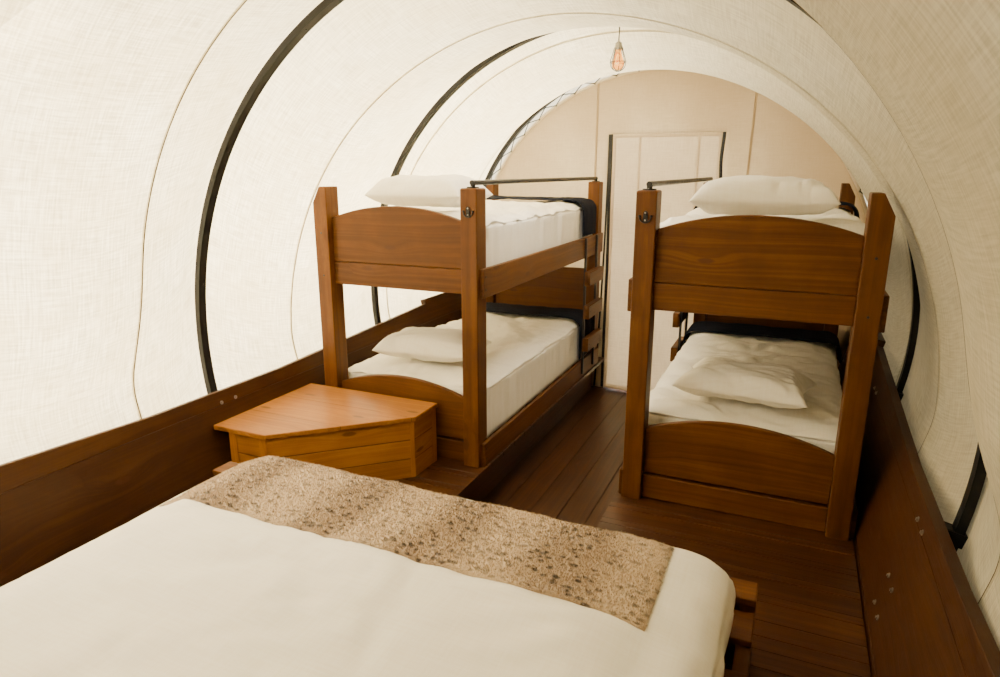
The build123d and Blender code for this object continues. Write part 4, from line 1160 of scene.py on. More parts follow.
flap_rows = []
flap_flat = []
for i in range(91):
    z = foot_z + (flap_top - foot_z) * i / 90
    xs = np.linspace(flap_left, flap_right, 49)
    flap_rows.append([(x, flap_depth(x, z), z) for x in xs])
    flap_flat.append([(x, z) for x in xs])
flap = grid_sheet("door_flap_canvas", flap_rows, flap_flat, flap_cream, 0.0016)
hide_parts("door_flap")


def flap_tape(name, corners, width, lift=0.0028):
    """A hem or seam that follows the flap between two corners."""
    (x_a, z_a), (x_b, z_b) = corners
    upright = abs(z_b - z_a) > abs(x_b - x_a)
    lines = []
    for across, rise in ((-0.5, 0.0009), (-0.4, lift), (0.4, lift), (0.5, 0.0009)):
        line = []
        for i in range(41):
            x = x_a + (x_b - x_a) * i / 40 + (across * width if upright else 0)
            z = z_a + (z_b - z_a) * i / 40 + (0 if upright else across * width)
            line.append((x, flap_depth(x, z) - rise, z))
        lines.append(line)
    return ribbon(name, lines, flap_cream)


flap_pieces = [
    flap_tape("door_hem_left", ((flap_left + 0.014, foot_z), (flap_left + 0.014, flap_top)), 0.026),
    flap_tape("door_hem_right", ((flap_right - 0.014, foot_z), (flap_right - 0.014, flap_top)), 0.026),
    flap_tape("door_hem_top", ((flap_left, flap_top - 0.013), (flap_right, flap_top - 0.013)), 0.024),
    flap_tape("door_hem_foot", ((flap_left, foot_z + 0.016), (flap_right, foot_z + 0.016)), 0.030),
    flap_tape("door_seam_left", ((-0.124, foot_z + 0.03), (-0.124, flap_top - 0.026)), 0.016),
    flap_tape("door_seam_right", ((0.256, foot_z + 0.03), (0.268, flap_top - 0.026)), 0.016),
]
cream_thread = cloth_material("cream thread", (0.46, 0.38, 0.27), (0.34, 0.27, 0.19), 0.8, 3000.0, 0.0001)
stitch_lines = []
for x in (flap_left + 0.024, flap_right - 0.024, -0.131, -0.117, 0.254, 0.269):
    stitch_lines.append([(x, flap_depth(x, z) - 0.0034, z) for z in np.linspace(foot_z + 0.03, flap_top - 0.03, 80)])
for x_low, x_high, top in ((-0.450, -0.437, 2.46), (-0.438, -0.425, 2.46), (0.549, 0.592, 2.40), (0.561, 0.604, 2.40)):
    stitch_lines.append([
        (x_low + (x_high - x_low) * t, 2.640 + slack(x_low + (x_high - x_low) * t, foot_z + (top - foot_z) * t, 2.64) - 0.0036,
         foot_z + (top - foot_z) * t) for t in np.linspace(0.01, 1, 80)
    ])
stitch_lines.append([(x, 2.640 + slack(x, 2.146, 2.64) - 0.0022, 2.146) for x in np.linspace(-0.33, 0.43, 40)])
door_stitching = sew("door_stitching", stitch_lines, cream_thread, 0.009, 0.006, 0.0007)

zip_tape = cloth_material("black zip tape", (0.013, 0.013, 0.014), (0.04, 0.04, 0.04), 0.75, 3000.0, 0.0003)
zip_teeth = worn_metal("black zip teeth", (0.012, 0.012, 0.012), (0.05, 0.05, 0.05), 0.35, 0.3, 60.0)


def zip_x(home, z):
    """The zip's line wanders a little where the flap pulls on it."""
    pull = 0.010 * math.exp(-((z - 1.95) / 0.12) ** 2) if home > 0 else 0.004 * math.exp(-((z - 1.2) / 0.3) ** 2)
    return home - math.copysign(pull, home)


tooth_places = []
for home, label in ((door_left, "left"), (door_right, "right")):
    heights = np.linspace(foot_z + 0.005, door_top - 0.001, 90)
    lines = []
    for across, rise in ((-0.0105, 0.0032), (-0.004, 0.0044), (0.004, 0.0044), (0.0105, 0.0032)):
        lines.append([(zip_x(home, z) + across, 2.640 - rise, z) for z in heights])
    ribbon(f"zip_tape_{label}", lines, zip_tape, 0.0008)
    for z in np.linspace(foot_z + 0.02, door_top - 0.012, 300):
        tooth_places.append(((zip_x(home, z), 2.640 - 0.0052, z), (0, -1, 0)))
    wire(
        f"zip_pull_{label}",
        [[(zip_x(home, 0.9), 2.6335, 0.905), (zip_x(home, 0.9) + 0.001, 2.6325, 0.893), (zip_x(home, 0.9), 2.6328, 0.868)]],
        0.0019, zip_teeth, sides=2,
    )
loose_tape = [
    [(door_left - 0.014 - 0.046 * ((door_top - z) / 1.85) ** 2 + across, 2.640 - rise, z) for z in heights]
    for across, rise in ((-0.007, 0.0032), (-0.003, 0.0044), (0.003, 0.0044), (0.007, 0.0032))
]
ribbon("zip_tape_loose", loose_tape, zip_tape, 0.0008)
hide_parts("door_zips")


def tooth_unit(tree, given):
    """One pair of zip teeth."""
    size = add_node(tree, "ShaderNodeCombineXYZ", {0: given["Width"], 1: given["Height"], 2: given["Height"]})
    return add_node(tree, "GeometryNodeMeshCube", {"Size": size.outputs[0]}).outputs[0]


zip_tooth_rows = repeat_tree("zip teeth", tooth_unit, {"Width": 0.0065, "Height": 0.003})
repeat_units("zip_teeth", zip_tooth_rows, tooth_places, zip_teeth, "zip", Width=0.0065, Height=0.0030)

# Bunk beds: square posts with eased tops, arched head boards, cross rails, side rails outside the posts,
# slats on ledgers, and ladder rungs. Softwood, stained warm brown, screwed together.
for side_name, seed in (("left", 20), ("right", 40)):
    for number, part in enumerate(("bunk_posts", "bunk_ends", "bunk_rails", "ladder_rungs")):
        boards(f"{side_name}_{part}_stained", [f"{side_name}_{part}"], warm_stain,
               0.004 if part != "ladder_rungs" else 0.0, seed=seed + number)
    boards(f"{side_name}_bunk_slats_stained", [f"{side_name}_bunk_slats"], warm_stain, 0.002, run=0,
           seed=seed + 5)

screw_black = worn_metal("black screw", (0.02, 0.018, 0.016), (0.07, 0.06, 0.05), 0.4, 0.7, 80.0)
bunk_screws = []
for side in (-1, 1):
    for post_y in (0.5675, 2.4725):
        for z in (1.366, 1.424, 0.555, 0.605):
            bunk_screws.append(((side * 0.3195, post_y, z), (-side, 0, 0)))
    for rung_z in (0.762, 0.982, 1.202):
        for dy in (-0.125, 0.125):
            bunk_screws.append(((side * 0.2675, 2.190 + dy, rung_z), (-side, 0, 0)))
    for z in (1.385, 1.590):
        bunk_screws.append(((side * 1.172, 0.5195, z), (0, -1, 0)))
repeat_units("bunk_screws", dome_heads, bunk_screws, screw_black, "bunk_wood", Width=0.010, Dome=0.35)

ironwork_paint = worn_metal("black ironwork paint", (0.006, 0.006, 0.006), (0.03, 0.026, 0.023), 0.38, 0.0, 30.0)
ironwork_paint.node_tree.nodes["Principled BSDF"].inputs["Specular IOR Level"].default_value = 0.3
for node in ("left_bunk_ironwork", "right_bunk_ironwork"):
    nodes[node].data.materials.clear()
    nodes[node].data.materials.append(ironwork_paint)
flange_screws = []
for side in (-1, 1):
    for post_y in (0.5675, 2.4725):
        for dx, dy in ((-0.019, 0.0), (0.019, 0.0), (0.0, 0.019), (0.0, -0.019)):
            flange_screws.append(((side * 0.380 + dx, post_y + dy, 1.8131), (0, 0, 1)))
    flange_screws.append(((side * 0.380, 0.5137, 1.724), (0, -1, 0)))
    flange_screws.append(((side * 0.380, 0.5137, 1.696), (0, -1, 0)))
repeat_units("flange_screws", dome_heads, flange_screws, bolt_steel, "black_steel", Width=0.007, Dome=0.4)
hook_tips = []
for side in (-1, 1):
    for tip in (-1, 1):
        hook_tips.append(((side * 0.380 + tip * 0.022, 0.517, 1.7105), (0, 0, 1)))
repeat_units("hook_tips", dome_heads, hook_tips, ironwork_paint, "black_steel", Width=0.011, Dome=0.95)

# Bedding: a mattress under a white cotton duvet on each of the five beds. Each duvet is crowned and creased,
# and falls over the sides of its mattress.
cotton = cloth_material(
    "white cotton", (0.90, 0.865, 0.785), (0.80, 0.75, 0.65), 0.78, 2600.0, 0.00025, sheen=0.15, patches=0.3,
    streak=0.95, wrinkles=0.0085,
)
wide_cotton = cloth_material(
    "wide bed cotton", (0.90, 0.865, 0.785), (0.80, 0.75, 0.65), 0.78, 2600.0, 0.00025, sheen=0.15, patches=0.3,
    streak=0.95, wrinkles=0.0022,
)
piping_cotton = cloth_material("white cotton piping", (0.76, 0.735, 0.68), (0.66, 0.62, 0.55), 0.75, 3000.0, 0.0002)


def crease(x, y, seed, across=1.0):
    """Puffed cloth: rounded swells that meet in sharp creases, from 0 to about 1."""
    warp = noise.noise(Vector((x * 2.2, y * 2.2, seed)))
    big = abs(noise.noise(Vector((x * 3.1 + warp * 0.9, y * 3.1 * across - warp, seed + 3.0))))
    small = abs(noise.noise(Vector((x * 7.0 + warp * 2.5, y * 10.0 * across + warp * 2.0, seed + 9.0))))
    tiny = abs(noise.noise(Vector((x * 17.0 + warp * 4.0, y * 15.0 * across - warp * 3.0, seed + 15.0))))
    return min(1.0, big * 2.2) * 0.52 + min(1.0, small * 2.0) * 0.32 + min(1.0, tiny * 2.0) * 0.16


def duvet(name, low, high, seed, corner=0.05, puff=0.022, drop=1.0, cell=0.014, falls=((0.0, 0.34, 2.0),) * 2):
    """A duvet over its mattress, as one closed form: a rounded block whose top is crowned and creased."""
    size = high - low
    nx = max(12, int(size.x / cell))
    ny = max(12, int(size.y / cell))
    nz = max(8, int(size.z / cell))
    index = {}
    verts = []
    faces = []

    def corner_at(i, j, k):
        if (i, j, k) not in index:
            index[i, j, k] = len(verts)
            verts.append((i / nx, j / ny, k / nz))
        return index[i, j, k]

    for i in range(nx):
        for j in range(ny):
            for k in (0, nz):
                quad = [corner_at(i, j, k), corner_at(i + 1, j, k), corner_at(i + 1, j + 1, k), corner_at(i, j + 1, k)]
                faces.append(quad if k else quad[::-1])
    for i in range(nx):
        for k in range(nz):
            for j in (0, ny):
                quad = [corner_at(i, j, k), corner_at(i + 1, j, k), corner_at(i + 1, j, k + 1), corner_at(i, j, k + 1)]
                faces.append(quad if j == 0 else quad[::-1])
    for j in range(ny):
        for k in range(nz):
            for i in (0, nx):
                quad = [corner_at(i, j, k), corner_at(i, j + 1, k), corner_at(i, j + 1, k + 1), corner_at(i, j, k + 1)]
                faces.append(quad if i == nx else quad[::-1])
    flat = []
    shaped = []
    half = size / 2
    middle = (low + high) / 2
    for u, v, w in verts:
        x = (u * 2 - 1) * half.x
        y = (v * 2 - 1) * half.y
        z = (w * 2 - 1) * half.z
        reach = min(half.x, half.y, half.z) * 0.96
        r_top = min(corner, reach)
        r_low = min(corner * 0.45, reach)
        r = r_top if z > 0 else r_low
        core = Vector((
            max(-half.x + r, min(half.x - r, x)), max(-half.y + r, min(half.y - r, y)),
            max(-half.z + r, min(half.z - r, z)),
        ))
        away = Vector((x, y, z)) - core
        place = core + (away.normalized() * r if away.length > 1e-9 else away)
        up = max(0.0, away.normalized().z) if away.length > 1e-9 else 0.0
        edge_x = 1 - abs(x) / half.x
        edge_y = 1 - abs(y) / half.y
        crown = min(1.0, edge_x * 3.0) * min(1.0, edge_y * 5.0)
        swell = crease(middle.x + place.x, middle.y + place.y + place.z * 0.7, seed)
        if up > 0.4 or abs(away.z) < 1e-9 and z >= half.z - r:
            sink = puff * (1 - swell) + 0.016 * (1 - crown)
            place.z -= sink * up
        side_out = Vector((away.x, away.y, 0))
        if side_out.length > 1e-9 and z < half.z - r * 0.3:
            side_out.normalize()
            folds = crease(middle.x + place.x * 1.0, middle.y + place.y, seed + 31.0, 2.2)
            level = (z + half.z) / (2 * half.z)
            inward = puff * 0.75 * (1 - folds) * min(1.0, 1.4 * level + 0.25)
            tuck = 0.018 * (1 - level) ** 2
            place -= side_out * (inward + tuck) * drop
        lowered = 0.0
        for edge, (depth, reach_in, power) in zip((place.x + half.x, half.x - place.x), falls):
            lowered += depth * min(1.0, max(0.0, 1.0 - edge / reach_in)) ** power
        place.z -= lowered * (place.z + half.z) / (2 * half.z)
        shaped.append(middle + place)
        flat.append((middle.x + x + (z if abs(x) > half.x - 1e-6 else 0), middle.y + y + (z if abs(y) > half.y - 1e-6 else 0), 0))
    mesh = bpy.data.meshes.new(name)
    mesh.from_pydata([tuple(place) for place in shaped], [], faces)
    lay_out(mesh, flat)
    mesh.shade_smooth()
    piece = show(name, mesh, cotton)
    soften = piece.modifiers.new("soften", "SMOOTH")
    soften.factor = 0.5
    soften.iterations = 1
    return piece


for side_name, seed in (("left", 2.0), ("right", 14.0)):
    for layer, extra in (("upper", 0.0), ("lower", 5.0)):
        low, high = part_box(f"{side_name}_{layer}_bedding")
        bed = duvet(f"{side_name}_{layer}_duvet", low, high, seed + extra, corner=0.088, puff=0.042, cell=0.0155)
        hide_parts(f"{side_name}_{layer}_bedding")

# Pillows: plump white cotton cases at the head of each bunk, crowned, with pinched corners and creases.


def pillow(name, low, high, seed, tilt=0.0):
    """A pillow: a closed form whose rim pulls in between its corners, swollen in a cloth simulation."""
    size = high - low
    middle = (low + high) / 2
    count = 44
    rows_v = []
    faces = []
    for face in (1, -1):
        for i in range(count + 1):
            for j in range(count + 1):
                u = 2 * i / count - 1
                v = 2 * j / count - 1
                pinch_x = 1 - 0.055 * (1 - v * v)
                pinch_y = 1 - 0.060 * (1 - u * u)
                belly = max(0.0, (1 - abs(u) ** 5.0) * (1 - abs(v) ** 4.2)) ** 0.55
                belly *= 1 - 0.045 * (1 - math.cos(v * 26.0 + seed)) * max(0.0, abs(u) - 0.45) / 0.55
                x = u * size.x / 2 * 0.985 * (1 - 0.06 * (1 - abs(v)) ** 2) * pinch_x
                y = v * size.y / 2 * 0.985 * pinch_y
                swell = crease(x * 1.3 + seed, y * 1.3, seed + face)
                tall = size.z / 2 * belly * (1.18 if face > 0 else 0.62)
                z = face * (tall - 0.020 * (1 - swell) * min(1.0, belly * 2))
                rows_v.append((x, y, z))
    step = (count + 1) ** 2
    for i in range(count):
        for j in range(count):
            a = i * (count + 1) + j
            faces.append((a, a + count + 1, a + count + 2, a + 1))
            faces.append((a + step, a + step + 1, a + step + count + 2, a + step + count + 1))
    mesh = bpy.data.meshes.new(name)
    mesh.from_pydata(rows_v, [], faces)
    work = bmesh.new()
    work.from_mesh(mesh)
    bmesh.ops.remove_doubles(work, verts=work.verts, dist=0.0016)
    bmesh.ops.recalc_face_normals(work, faces=work.faces)
    work.to_mesh(mesh)
    work.free()
    mesh = swollen(mesh, name, 0.0075, 3.2, 0.014)
    spin = Matrix.Rotation(tilt, 4, "Z")
    lift = min(vert.co.z for vert in mesh.vertices)
    mesh.transform(Matrix.Translation((middle.x, middle.y, low.z - lift + 0.002)) @ spin)
    lay_out(mesh, [(vert.co.x, vert.co.y, 0.0) for vert in mesh.vertices])
    mesh.shade_smooth()
    piece = show(name, mesh, cotton)
    soften = piece.modifiers.new("soften", "SMOOTH")
    soften.factor = 0.5
    soften.iterations = 3
    return piece


def swollen(mesh, name, cell, pressure, reach):
    """Blow a closed mesh up from inside as cloth, keeping every point within reach of where it started."""
    holder = bpy.data.objects.new(name + "_trial", mesh)
    bpy.context.scene.collection.objects.link(holder)
    again = holder.modifiers.new("remesh", "REMESH")
    again.mode = "VOXEL"
    again.voxel_size = cell
    even = bpy.data.meshes.new_from_object(holder.evaluated_get(bpy.context.evaluated_depsgraph_get()))
    holder.modifiers.clear()
    holder.data = even
    start = np.array([vert.co[:] for vert in even.vertices])
    cloth = holder.modifiers.new("cloth", "CLOTH")
    cloth.settings.quality = 6
    cloth.settings.mass = 0.25
    cloth.settings.tension_stiffness = 22
    cloth.settings.compression_stiffness = 12
    cloth.settings.shear_stiffness = 6
    cloth.settings.bending_stiffness = 0.4
    cloth.settings.use_pressure = True
    cloth.settings.uniform_pressure_force = pressure
    cloth.settings.effector_weights.gravity = 0
    cloth.point_cache.frame_start = 1
    cloth.point_cache.frame_end = 20
    for step in range(1, 21):
        bpy.context.scene.frame_set(step)
    blown = bpy.data.meshes.new_from_object(holder.evaluated_get(bpy.context.evaluated_depsgraph_get()))
    end = np.array([vert.co[:] for vert in blown.vertices])
    move = end - start
    far = np.linalg.norm(move, axis=1, keepdims=True)
    end = start + move * np.minimum(1.0, reach / np.maximum(far, 1e-9))
    blown.vertices.foreach_set("co", end.ravel())
    blown.update()
    bpy.data.objects.remove(holder)
    bpy.context.scene.frame_set(1)
    return blown


for side_name, side, seed in (("left", -1, 3.0), ("right", 1, 8.0)):
    pieces = []
    for layer, z, turn in (("upper", 1.7013, 0.05), ("lower", 0.9263, -0.12)):
        middle_x = side * 0.77585
        low = Vector((middle_x - 0.285, 0.685, z))
        high = Vector((middle_x + 0.285, 1.065, z + (0.155 if layer == "upper" else 0.135)))
        pieces.append(pillow(f"{side_name}_{layer}_pillow", low, high, seed + z, turn * side))
    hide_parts(f"{side_name}_bunk_pillows")

# Throws: navy fleece laid over the foot of each bunk, down the aisle side as far as the rail and tucked
# behind at the wall.
fleece = cloth_material("navy fleece", (0.0085, 0.0105, 0.0190), (0.020, 0.023, 0.034), 0.95, 1400.0, 0.0008, patches=0.6)

fleece.node_tree.nodes["Principled BSDF"].inputs["Specular IOR Level"].default_value = 0.08


def throw(name, side, top_z, drop_z, seed):
    """A folded throw over a duvet, three layers thick, with rounded edges and slack folds."""
    inner = 0.77585 - 0.4385
    outer = 0.77585 + 0.4385
    path = []
    corner = 0.062
    for z in np.linspace(drop_z, top_z - corner, 16):
        path.append((inner, z, "down"))
    for a in np.linspace(math.pi, math.pi / 2, 10)[1:]:
        path.append((inner + corner + corner * math.cos(a), top_z - corner + corner * math.sin(a), "bend"))
    for x in np.linspace(inner + corner, outer - corner, 34)[1:]:
        path.append((x, top_z, "top"))
    for a in np.linspace(math.pi / 2, 0, 10)[1:]:
        path.append((outer - corner + corner * math.cos(a), top_z - corner + corner * math.sin(a), "bend"))
    for z in np.linspace(top_z - corner, top_z - corner - 0.058, 5)[1:]:
        path.append((outer, z, "down"))
    rows = []
    flat = []
    run = 0.0
    last = None
    for x, z, kind in path:
        if last:
            run += math.dist(last, (x, z))
        last = (x, z)
        row = []
        flat_row = []
        wander = 0.012 * noise.noise(Vector((run * 2.0, 0.0, seed)))
        for j in range(19):
            share = j / 18
            y = 2.065 + 0.290 * share + wander * (1 if j < 2 or j > 16 else 0.5)
            sink = 0.012 * (1 - crease(x * 1.6, y * 2.4, seed)) if kind != "down" else 0.0
            fold = 0.004 * math.sin(share * math.pi * 5 + run * 3.0) if kind == "down" else 0.0
            edge = 0.006 * (abs(share - 0.5) * 2) ** 8
            row.append((side * (x + (fold if x < 0.5 else -fold)), y, z - sink - edge + (0.004 if kind == "top" else 0.0)))
            flat_row.append((run, y))
        rows.append(row)
        flat.append(flat_row)
    piece = grid_sheet(name, rows, flat, fleece)
    shell = piece.modifiers.new("folded layers", "SOLIDIFY")
    shell.thickness = 0.009
    shell.offset = 0.0
    rounded = piece.modifiers.new("rounded", "SUBSURF")
    rounded.levels = 1
    rounded.render_levels = 1
    return piece


for side_name, side, seed in (("left", -1, 4.0), ("right", 1, 9.0)):
    upper = throw(f"{side_name}_upper_throw", side, 1.7058, 1.468, seed)
    lower = throw(f"{side_name}_lower_throw", side, 0.9308, 0.645, seed + 2)
    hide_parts(f"{side_name}_bunk_throws")

# Wide bed: a plank box on the platform with a flat cap board at each end and slats across, then the wide
# mattress with its duvet, and a spotted short-pile runner across the foot.


def bed_grain(centre, normal):
    """End boards and caps run across the wagon, side boards run along it."""
    if centre.z > 0.757 or min(abs(centre.y + 2.5), abs(centre.y + 0.3)) < 0.045:
        return [0, 1, 2], ("cap" if centre.z > 0.757 else "end", centre.y > -1.4)
    return [1, 2, 0], ("side", centre.x > 0)


boards("wide_bed_box", ["bed_box"], warm_stain, 0.003, seed=60, turn_by_face=bed_grain)
boards("wide_bed_slats", ["bed_slats"], warm_stain, 0.003, run=0, seed=61)
for name in ("wide_bed_box", "wide_bed_slats"):
    for vert in bpy.data.objects[name].data.vertices:
        if vert.co.x < -1.1:
            vert.co.x += 0.2
low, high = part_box("bed_bedding")
low.x += 0.235
wide_duvet = duvet("wide_bed_duvet", low, high, 33.0, corner=0.095, puff=0.018, cell=0.017,
                   falls=((0.21, 0.38, 1.15), (0.045, 0.34, 2.0)))
wide_duvet.data.materials[0] = wide_cotton
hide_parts("bed_bedding")


def fur_material():
    """Tan pile with rows of brown spots that run in bands across the runner."""
    made, tree, shader = finish_material("spotted pile", roughness=0.9, sheen_weight=0.5, sheen_roughness=0.5)
    place = own_coordinates(tree)
    warp = speckle(tree, place, 9.0)
    shifted = add_node(
        tree, "ShaderNodeVectorMath",
        {0: place, 1: add_node(tree, "ShaderNodeCombineXYZ", {0: sum_of(tree, "MULTIPLY", warp, 0.05)}).outputs[0]},
        operation="ADD",
    )
    squashed = add_node(tree, "ShaderNodeVectorMath", {0: shifted.outputs[0], 1: (38.0, 56.0, 8.0)}, operation="MULTIPLY")
    spots = add_node(tree, "ShaderNodeTexVoronoi", {"Vector": squashed.outputs[0], "Scale": 1.0, "Randomness": 0.85})
    spot = add_node(
        tree, "ShaderNodeMapRange",
        {"Value": spots.outputs["Distance"], "From Min": 0.26, "From Max": 0.44, "To Min": 1.0, "To Max": 0.0},
    )
    bands = add_node(
        tree, "ShaderNodeTexWave", {"Vector": place, "Scale": 0.95, "Distortion": 1.6, "Detail": 2.0, "Detail Scale": 3.0},
        bands_direction="X",
    )
    band = add_node(tree, "ShaderNodeMapRange", {"Value": bands.outputs["Fac"], "From Min": 0.25, "From Max": 0.8})
    hair = speckle(tree, place, 420.0, 2.0, 0.7)
    ground = blend_colours(tree, band.outputs[0], (0.58, 0.42, 0.25, 1), (0.30, 0.180, 0.080, 1))
    ground = blend_colours(tree, sum_of(tree, "MULTIPLY", hair, 0.5), ground, (0.68, 0.55, 0.39, 1))
    dark = sum_of(tree, "MULTIPLY", spot.outputs[0], sum_of(tree, "MULTIPLY_ADD", band.outputs[0], 0.35, 0.6))
    colour = blend_colours(tree, dark, ground, (0.050, 0.023, 0.010, 1))
    tree.links.new(colour, shader.inputs["Base Color"])
    bump(tree, shader, sum_of(tree, "MULTIPLY_ADD", hair, 0.9, warp), 0.004, 0.8)
    return made


pile = fur_material()
runner_low, runner_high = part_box("bed_runner")
runner_low.x += 0.135


def duvet_top(x, y):
    """Height of the wide duvet's face under a point."""
    found = wide_duvet.evaluated_get(bpy.context.evaluated_depsgraph_get())
    hit, place, normal, index = found.ray_cast(Vector((x, y, 1.3)), Vector((0, 0, -1)))
    return place.z if hit else high.z


rows = []
flat = []
span_x = runner_high.x - runner_low.x
span_y = runner_high.y - runner_low.y
for i in range(81):
    row = []
    flat_row = []
    for j in range(25):
        u = i / 80
        v = j / 24
        x = runner_low.x + span_x * u
        y = runner_low.y + span_y * v + 0.006 * noise.noise(Vector((u * 9.0, v * 2.0, 2.0)))
        row.append((x, y, max(duvet_top(x, y) + 0.003, runner_low.z - 0.14)))
        flat_row.append((x, y))
    rows.append(row)
    flat.append(flat_row)
runner = grid_sheet("spotted_runner", rows, flat, pile)
body = runner.modifiers.new("pile body", "SOLIDIFY")
body.thickness = 0.008
body.offset = 1.0
runner_mesh = bpy.data.meshes.new_from_object(runner.evaluated_get(bpy.context.evaluated_depsgraph_get()))
runner.modifiers.clear()
runner.data = runner_mesh
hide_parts("bed_runner")


def tuft_tree():
    """A Geometry Nodes tree that plants short leaning tufts all over a face."""
    tree = bpy.data.node_groups.new("pile tufts", "GeometryNodeTree")
    tree.interface.new_socket("Cloth", in_out="INPUT", socket_type="NodeSocketGeometry")
    for key, start in (("Density", 30000.0), ("Length", 0.010), ("Width", 0.0016)):
        tree.interface.new_socket(key, in_out="INPUT", socket_type="NodeSocketFloat").default_value = start
    tree.interface.new_socket("Finish", in_out="INPUT", socket_type="NodeSocketMaterial")
    tree.interface.new_socket("Tufts", in_out="OUTPUT", socket_type="NodeSocketGeometry")
    given = add_node(tree, "NodeGroupInput").outputs
    spread = add_node(
        tree, "GeometryNodeDistributePointsOnFaces", {"Mesh": given["Cloth"], "Density": given["Density"], "Seed": 7}
    )
    tuft = add_node(
        tree, "GeometryNodeMeshCone",
        {"Vertices": 3, "Radius Top": 0.0, "Radius Bottom": given["Width"], "Depth": given["Length"]},
        fill_type="NONE",
    )
    wobble = add_node(
        tree, "FunctionNodeRandomValue", {"Min": (-0.5, -0.9, -3.1), "Max": (0.5, 0.1, 3.1), "Seed": 3},
        data_type="FLOAT_VECTOR",
    )
    leaned = add_node(tree, "FunctionNodeRotateRotation", {"Rotation": spread.outputs["Rotation"]})
    turn = add_node(tree, "FunctionNodeEulerToRotation", {0: wobble.outputs[0]})
    tree.links.new(turn.outputs[0], leaned.inputs[1])
    placed = add_node(
        tree, "GeometryNodeInstanceOnPoints",
        {"Points": spread.outputs[0], "Instance": tuft.outputs[0], "Rotation": leaned.outputs[0]},
    )
    real = add_node(tree, "GeometryNodeRealizeInstances", {0: placed.outputs[0]})
    done = add_node(tree, "GeometryNodeSetMaterial", {"Geometry": real.outputs[0], "Material": given["Finish"]})
    add_node(tree, "NodeGroupOutput", {0: done.outputs[0]})
    return tree


holder = bpy.data.objects.new("runner_face", runner_mesh.copy())
bpy.context.scene.collection.objects.link(holder)
planting = holder.modifiers.new("tufts", "NODES")
planting.node_group = tuft_tree()
for item in planting.node_group.interface.items_tree:
    if item.in_out == "INPUT" and item.name in ("Density", "Length", "Width", "Finish"):
        planting[item.identifier] = {"Density": 52000.0, "Length": 0.0065, "Width": 0.00125, "Finish": pile}[item.name]
tuft_mesh = bpy.data.meshes.new_from_object(holder.evaluated_get(bpy.context.evaluated_depsgraph_get()))
bpy.data.objects.remove(holder)
tufts = show("runner_tufts", tuft_mesh)

# Corner table: three courses of plank round a closed base, with a plank top whose outer corner is cut off.
# Lighter and redder varnish than the bunks.
table_varnish = stained_wood(
    "light table varnish", (0.19, 0.065, 0.009), (0.31, 0.122, 0.019), (0.44, 0.196, 0.038), 0.5, 0.30, 0.1
)


def table_grain(centre, normal):
    """Planks run level round the base, whichever way each face looks."""
    if abs(normal.z) > 0.7:
        return [0, 1, 2], ("flat", 0)
    level = Vector((0, 0, 1)).cross(normal)
    if level.length < 1e-6:
        level = Vector((1, 0, 0))
    level.normalize()
    return [level, Vector((0, 0, 1)), normal.normalized()], (round(level.x, 1), round(level.y, 1))


boards("corner_table_base", ["table_base"], table_varnish, 0.0015,
       cuts=(2, [0.5210 + 0.274 / 3, 0.5210 + 0.274 * 2 / 3]), seed=70, turn_by_face=table_grain, joint=0.0021)
boards("corner_table_top", ["table_top"], table_varnish, 0.004, run=0, cuts=(1, [0.093, 0.306]), seed=72,
       joint=0.0011, sink=0.0015)



def corner_board(name, start, end, low, high, proud):
    """A thin upright board on one face of the base, with its grain running up."""
    along = Vector((end[0] - start[0], end[1] - start[1], 0)).normalized()
    out = Vector((along.y, -along.x, 0)) * proud
    places = []
    for z in (low, high):
        for at, lift in ((start, 0), (end, 0), (end, 1), (start, 1)):
            places.append(Vector((at[0], at[1], z)) + out * lift)
    work = bmesh.new()
    verts = [work.verts.new(place) for place in places]
    for ring in ((0, 1, 2, 3), (4, 5, 6, 7), (0, 1, 5, 4), (1, 2, 6, 5), (2, 3, 7, 6), (3, 0, 4, 7)):
        work.faces.new([verts[i] for i in ring])
    bmesh.ops.recalc_face_normals(work, faces=work.faces)
    bmesh.ops.bevel(work, geom=work.edges[:], offset=proud * 0.4, segments=2, profile=0.5, affect="EDGES")
    mesh = bpy.data.meshes.new(name)
    work.to_mesh(mesh)
    work.free()
    down = np.array([[v.co.z, v.co.dot(along), v.co.dot(out)] for v in mesh.vertices]) + start[0] * 7
    mesh.attributes.new("down_board", "FLOAT_VECTOR", "POINT").data.foreach_set("vector", down.ravel())
    mesh.attributes.new("board_tone", "FLOAT", "POINT").data.foreach_set("value", np.full(len(down), 0.15))
    return show(name, mesh, table_varnish)


diagonal = Vector((-0.5667 + 1.0207, 0.327 + 0.106)).normalized()
corner_board("table_upright_1", (-1.2270, -0.106), (-1.1850, -0.106), 0.5215, 0.7945, 0.003)
corner_board("table_upright_2", (-1.0600, -0.106), (-1.0215, -0.106), 0.5215, 0.7945, 0.003)
corner_board("table_upright_3", (-0.5667 - diagonal.x * 0.022, 0.327 - diagonal.y * 0.022), (-0.5672, 0.3265), 0.5215, 0.7945, 0.003)
corner_board("table_upright_4", (-0.5667, 0.483), (-0.5667, 0.5185), 0.5215, 0.7945, 0.003)

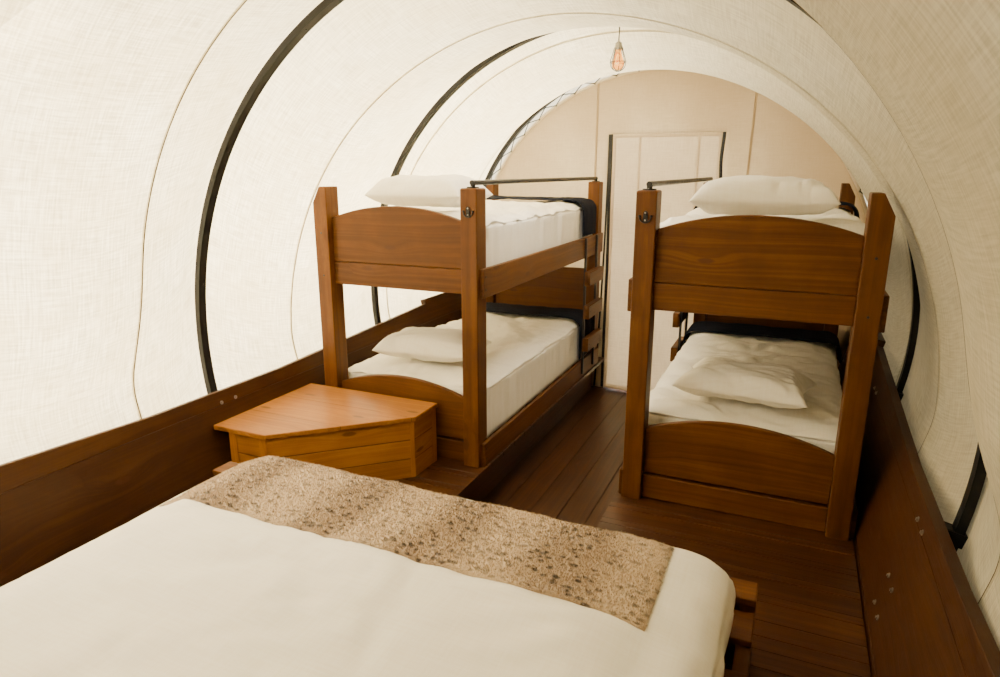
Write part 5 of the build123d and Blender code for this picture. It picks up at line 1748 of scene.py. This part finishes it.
# Studio: a plain pale floor under the sills, an even pale surround, and large soft lamps outside the
# wagon, whose light comes in through the canvas as daylight would, with one soft lamp inside.
floor_mesh = bpy.data.meshes.new("studio_floor")
floor_mesh.from_pydata([(-14, -14, -0.0005), (14, -14, -0.0005), (14, 14, -0.0005), (-14, 14, -0.0005)], [], [(0, 1, 2, 3)])
studio_floor = bpy.data.objects.new("studio_floor", floor_mesh)
bpy.context.scene.collection.objects.link(studio_floor)
paper, tree, shader = finish_material("pale studio floor", roughness=0.8)
tree.links.new(
    blend_colours(tree, speckle(tree, own_coordinates(tree), 0.8), (0.74, 0.735, 0.72, 1), (0.79, 0.785, 0.77, 1)),
    shader.inputs["Base Color"],
)
floor_mesh.materials.append(paper)
studio_floor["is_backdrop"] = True

surround = bpy.data.worlds.new("pale surround")
surround.use_nodes = True
surround.node_tree.nodes["Background"].inputs["Color"].default_value = (1.0, 0.975, 0.93, 1)
surround.node_tree.nodes["Background"].inputs["Strength"].default_value = 0.27
bpy.context.scene.world = surround


def soft_lamp(name, place, target, size, power, colour):
    """A large square lamp that looks at a point."""
    data = bpy.data.lights.new(name, "AREA")
    data.shape = "SQUARE"
    data.size = size
    data.energy = power
    data.color = colour
    lamp = bpy.data.objects.new(name, data)
    bpy.context.scene.collection.objects.link(lamp)
    lamp.location = place
    lamp.rotation_euler = (Vector(target) - Vector(place)).to_track_quat("-Z", "Y").to_euler()


soft_lamp("key", (-6.5, 0.8, 4.4), (0, 0.2, 1.4), 4.0, 8000, (1.0, 0.95, 0.85))
soft_lamp("overhead", (-2.8, 3.0, 6.6), (-0.2, 1.6, 1.8), 3.0, 3000, (1.0, 0.96, 0.88))
soft_lamp("far", (-3.4, 6.6, 3.2), (-0.4, 2.6, 1.6), 2.5, 620, (1.0, 0.96, 0.89))
soft_lamp("inside", (-0.75, -1.2, 2.1), (-0.2, -0.2, 0.7), 0.7, 10.5, (1.0, 0.94, 0.84))
soft_lamp("aisle", (-0.05, 0.9, 2.32), (-0.05, 1.7, 0.6), 0.4, 11.5, (1.0, 0.94, 0.83))

low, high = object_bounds()
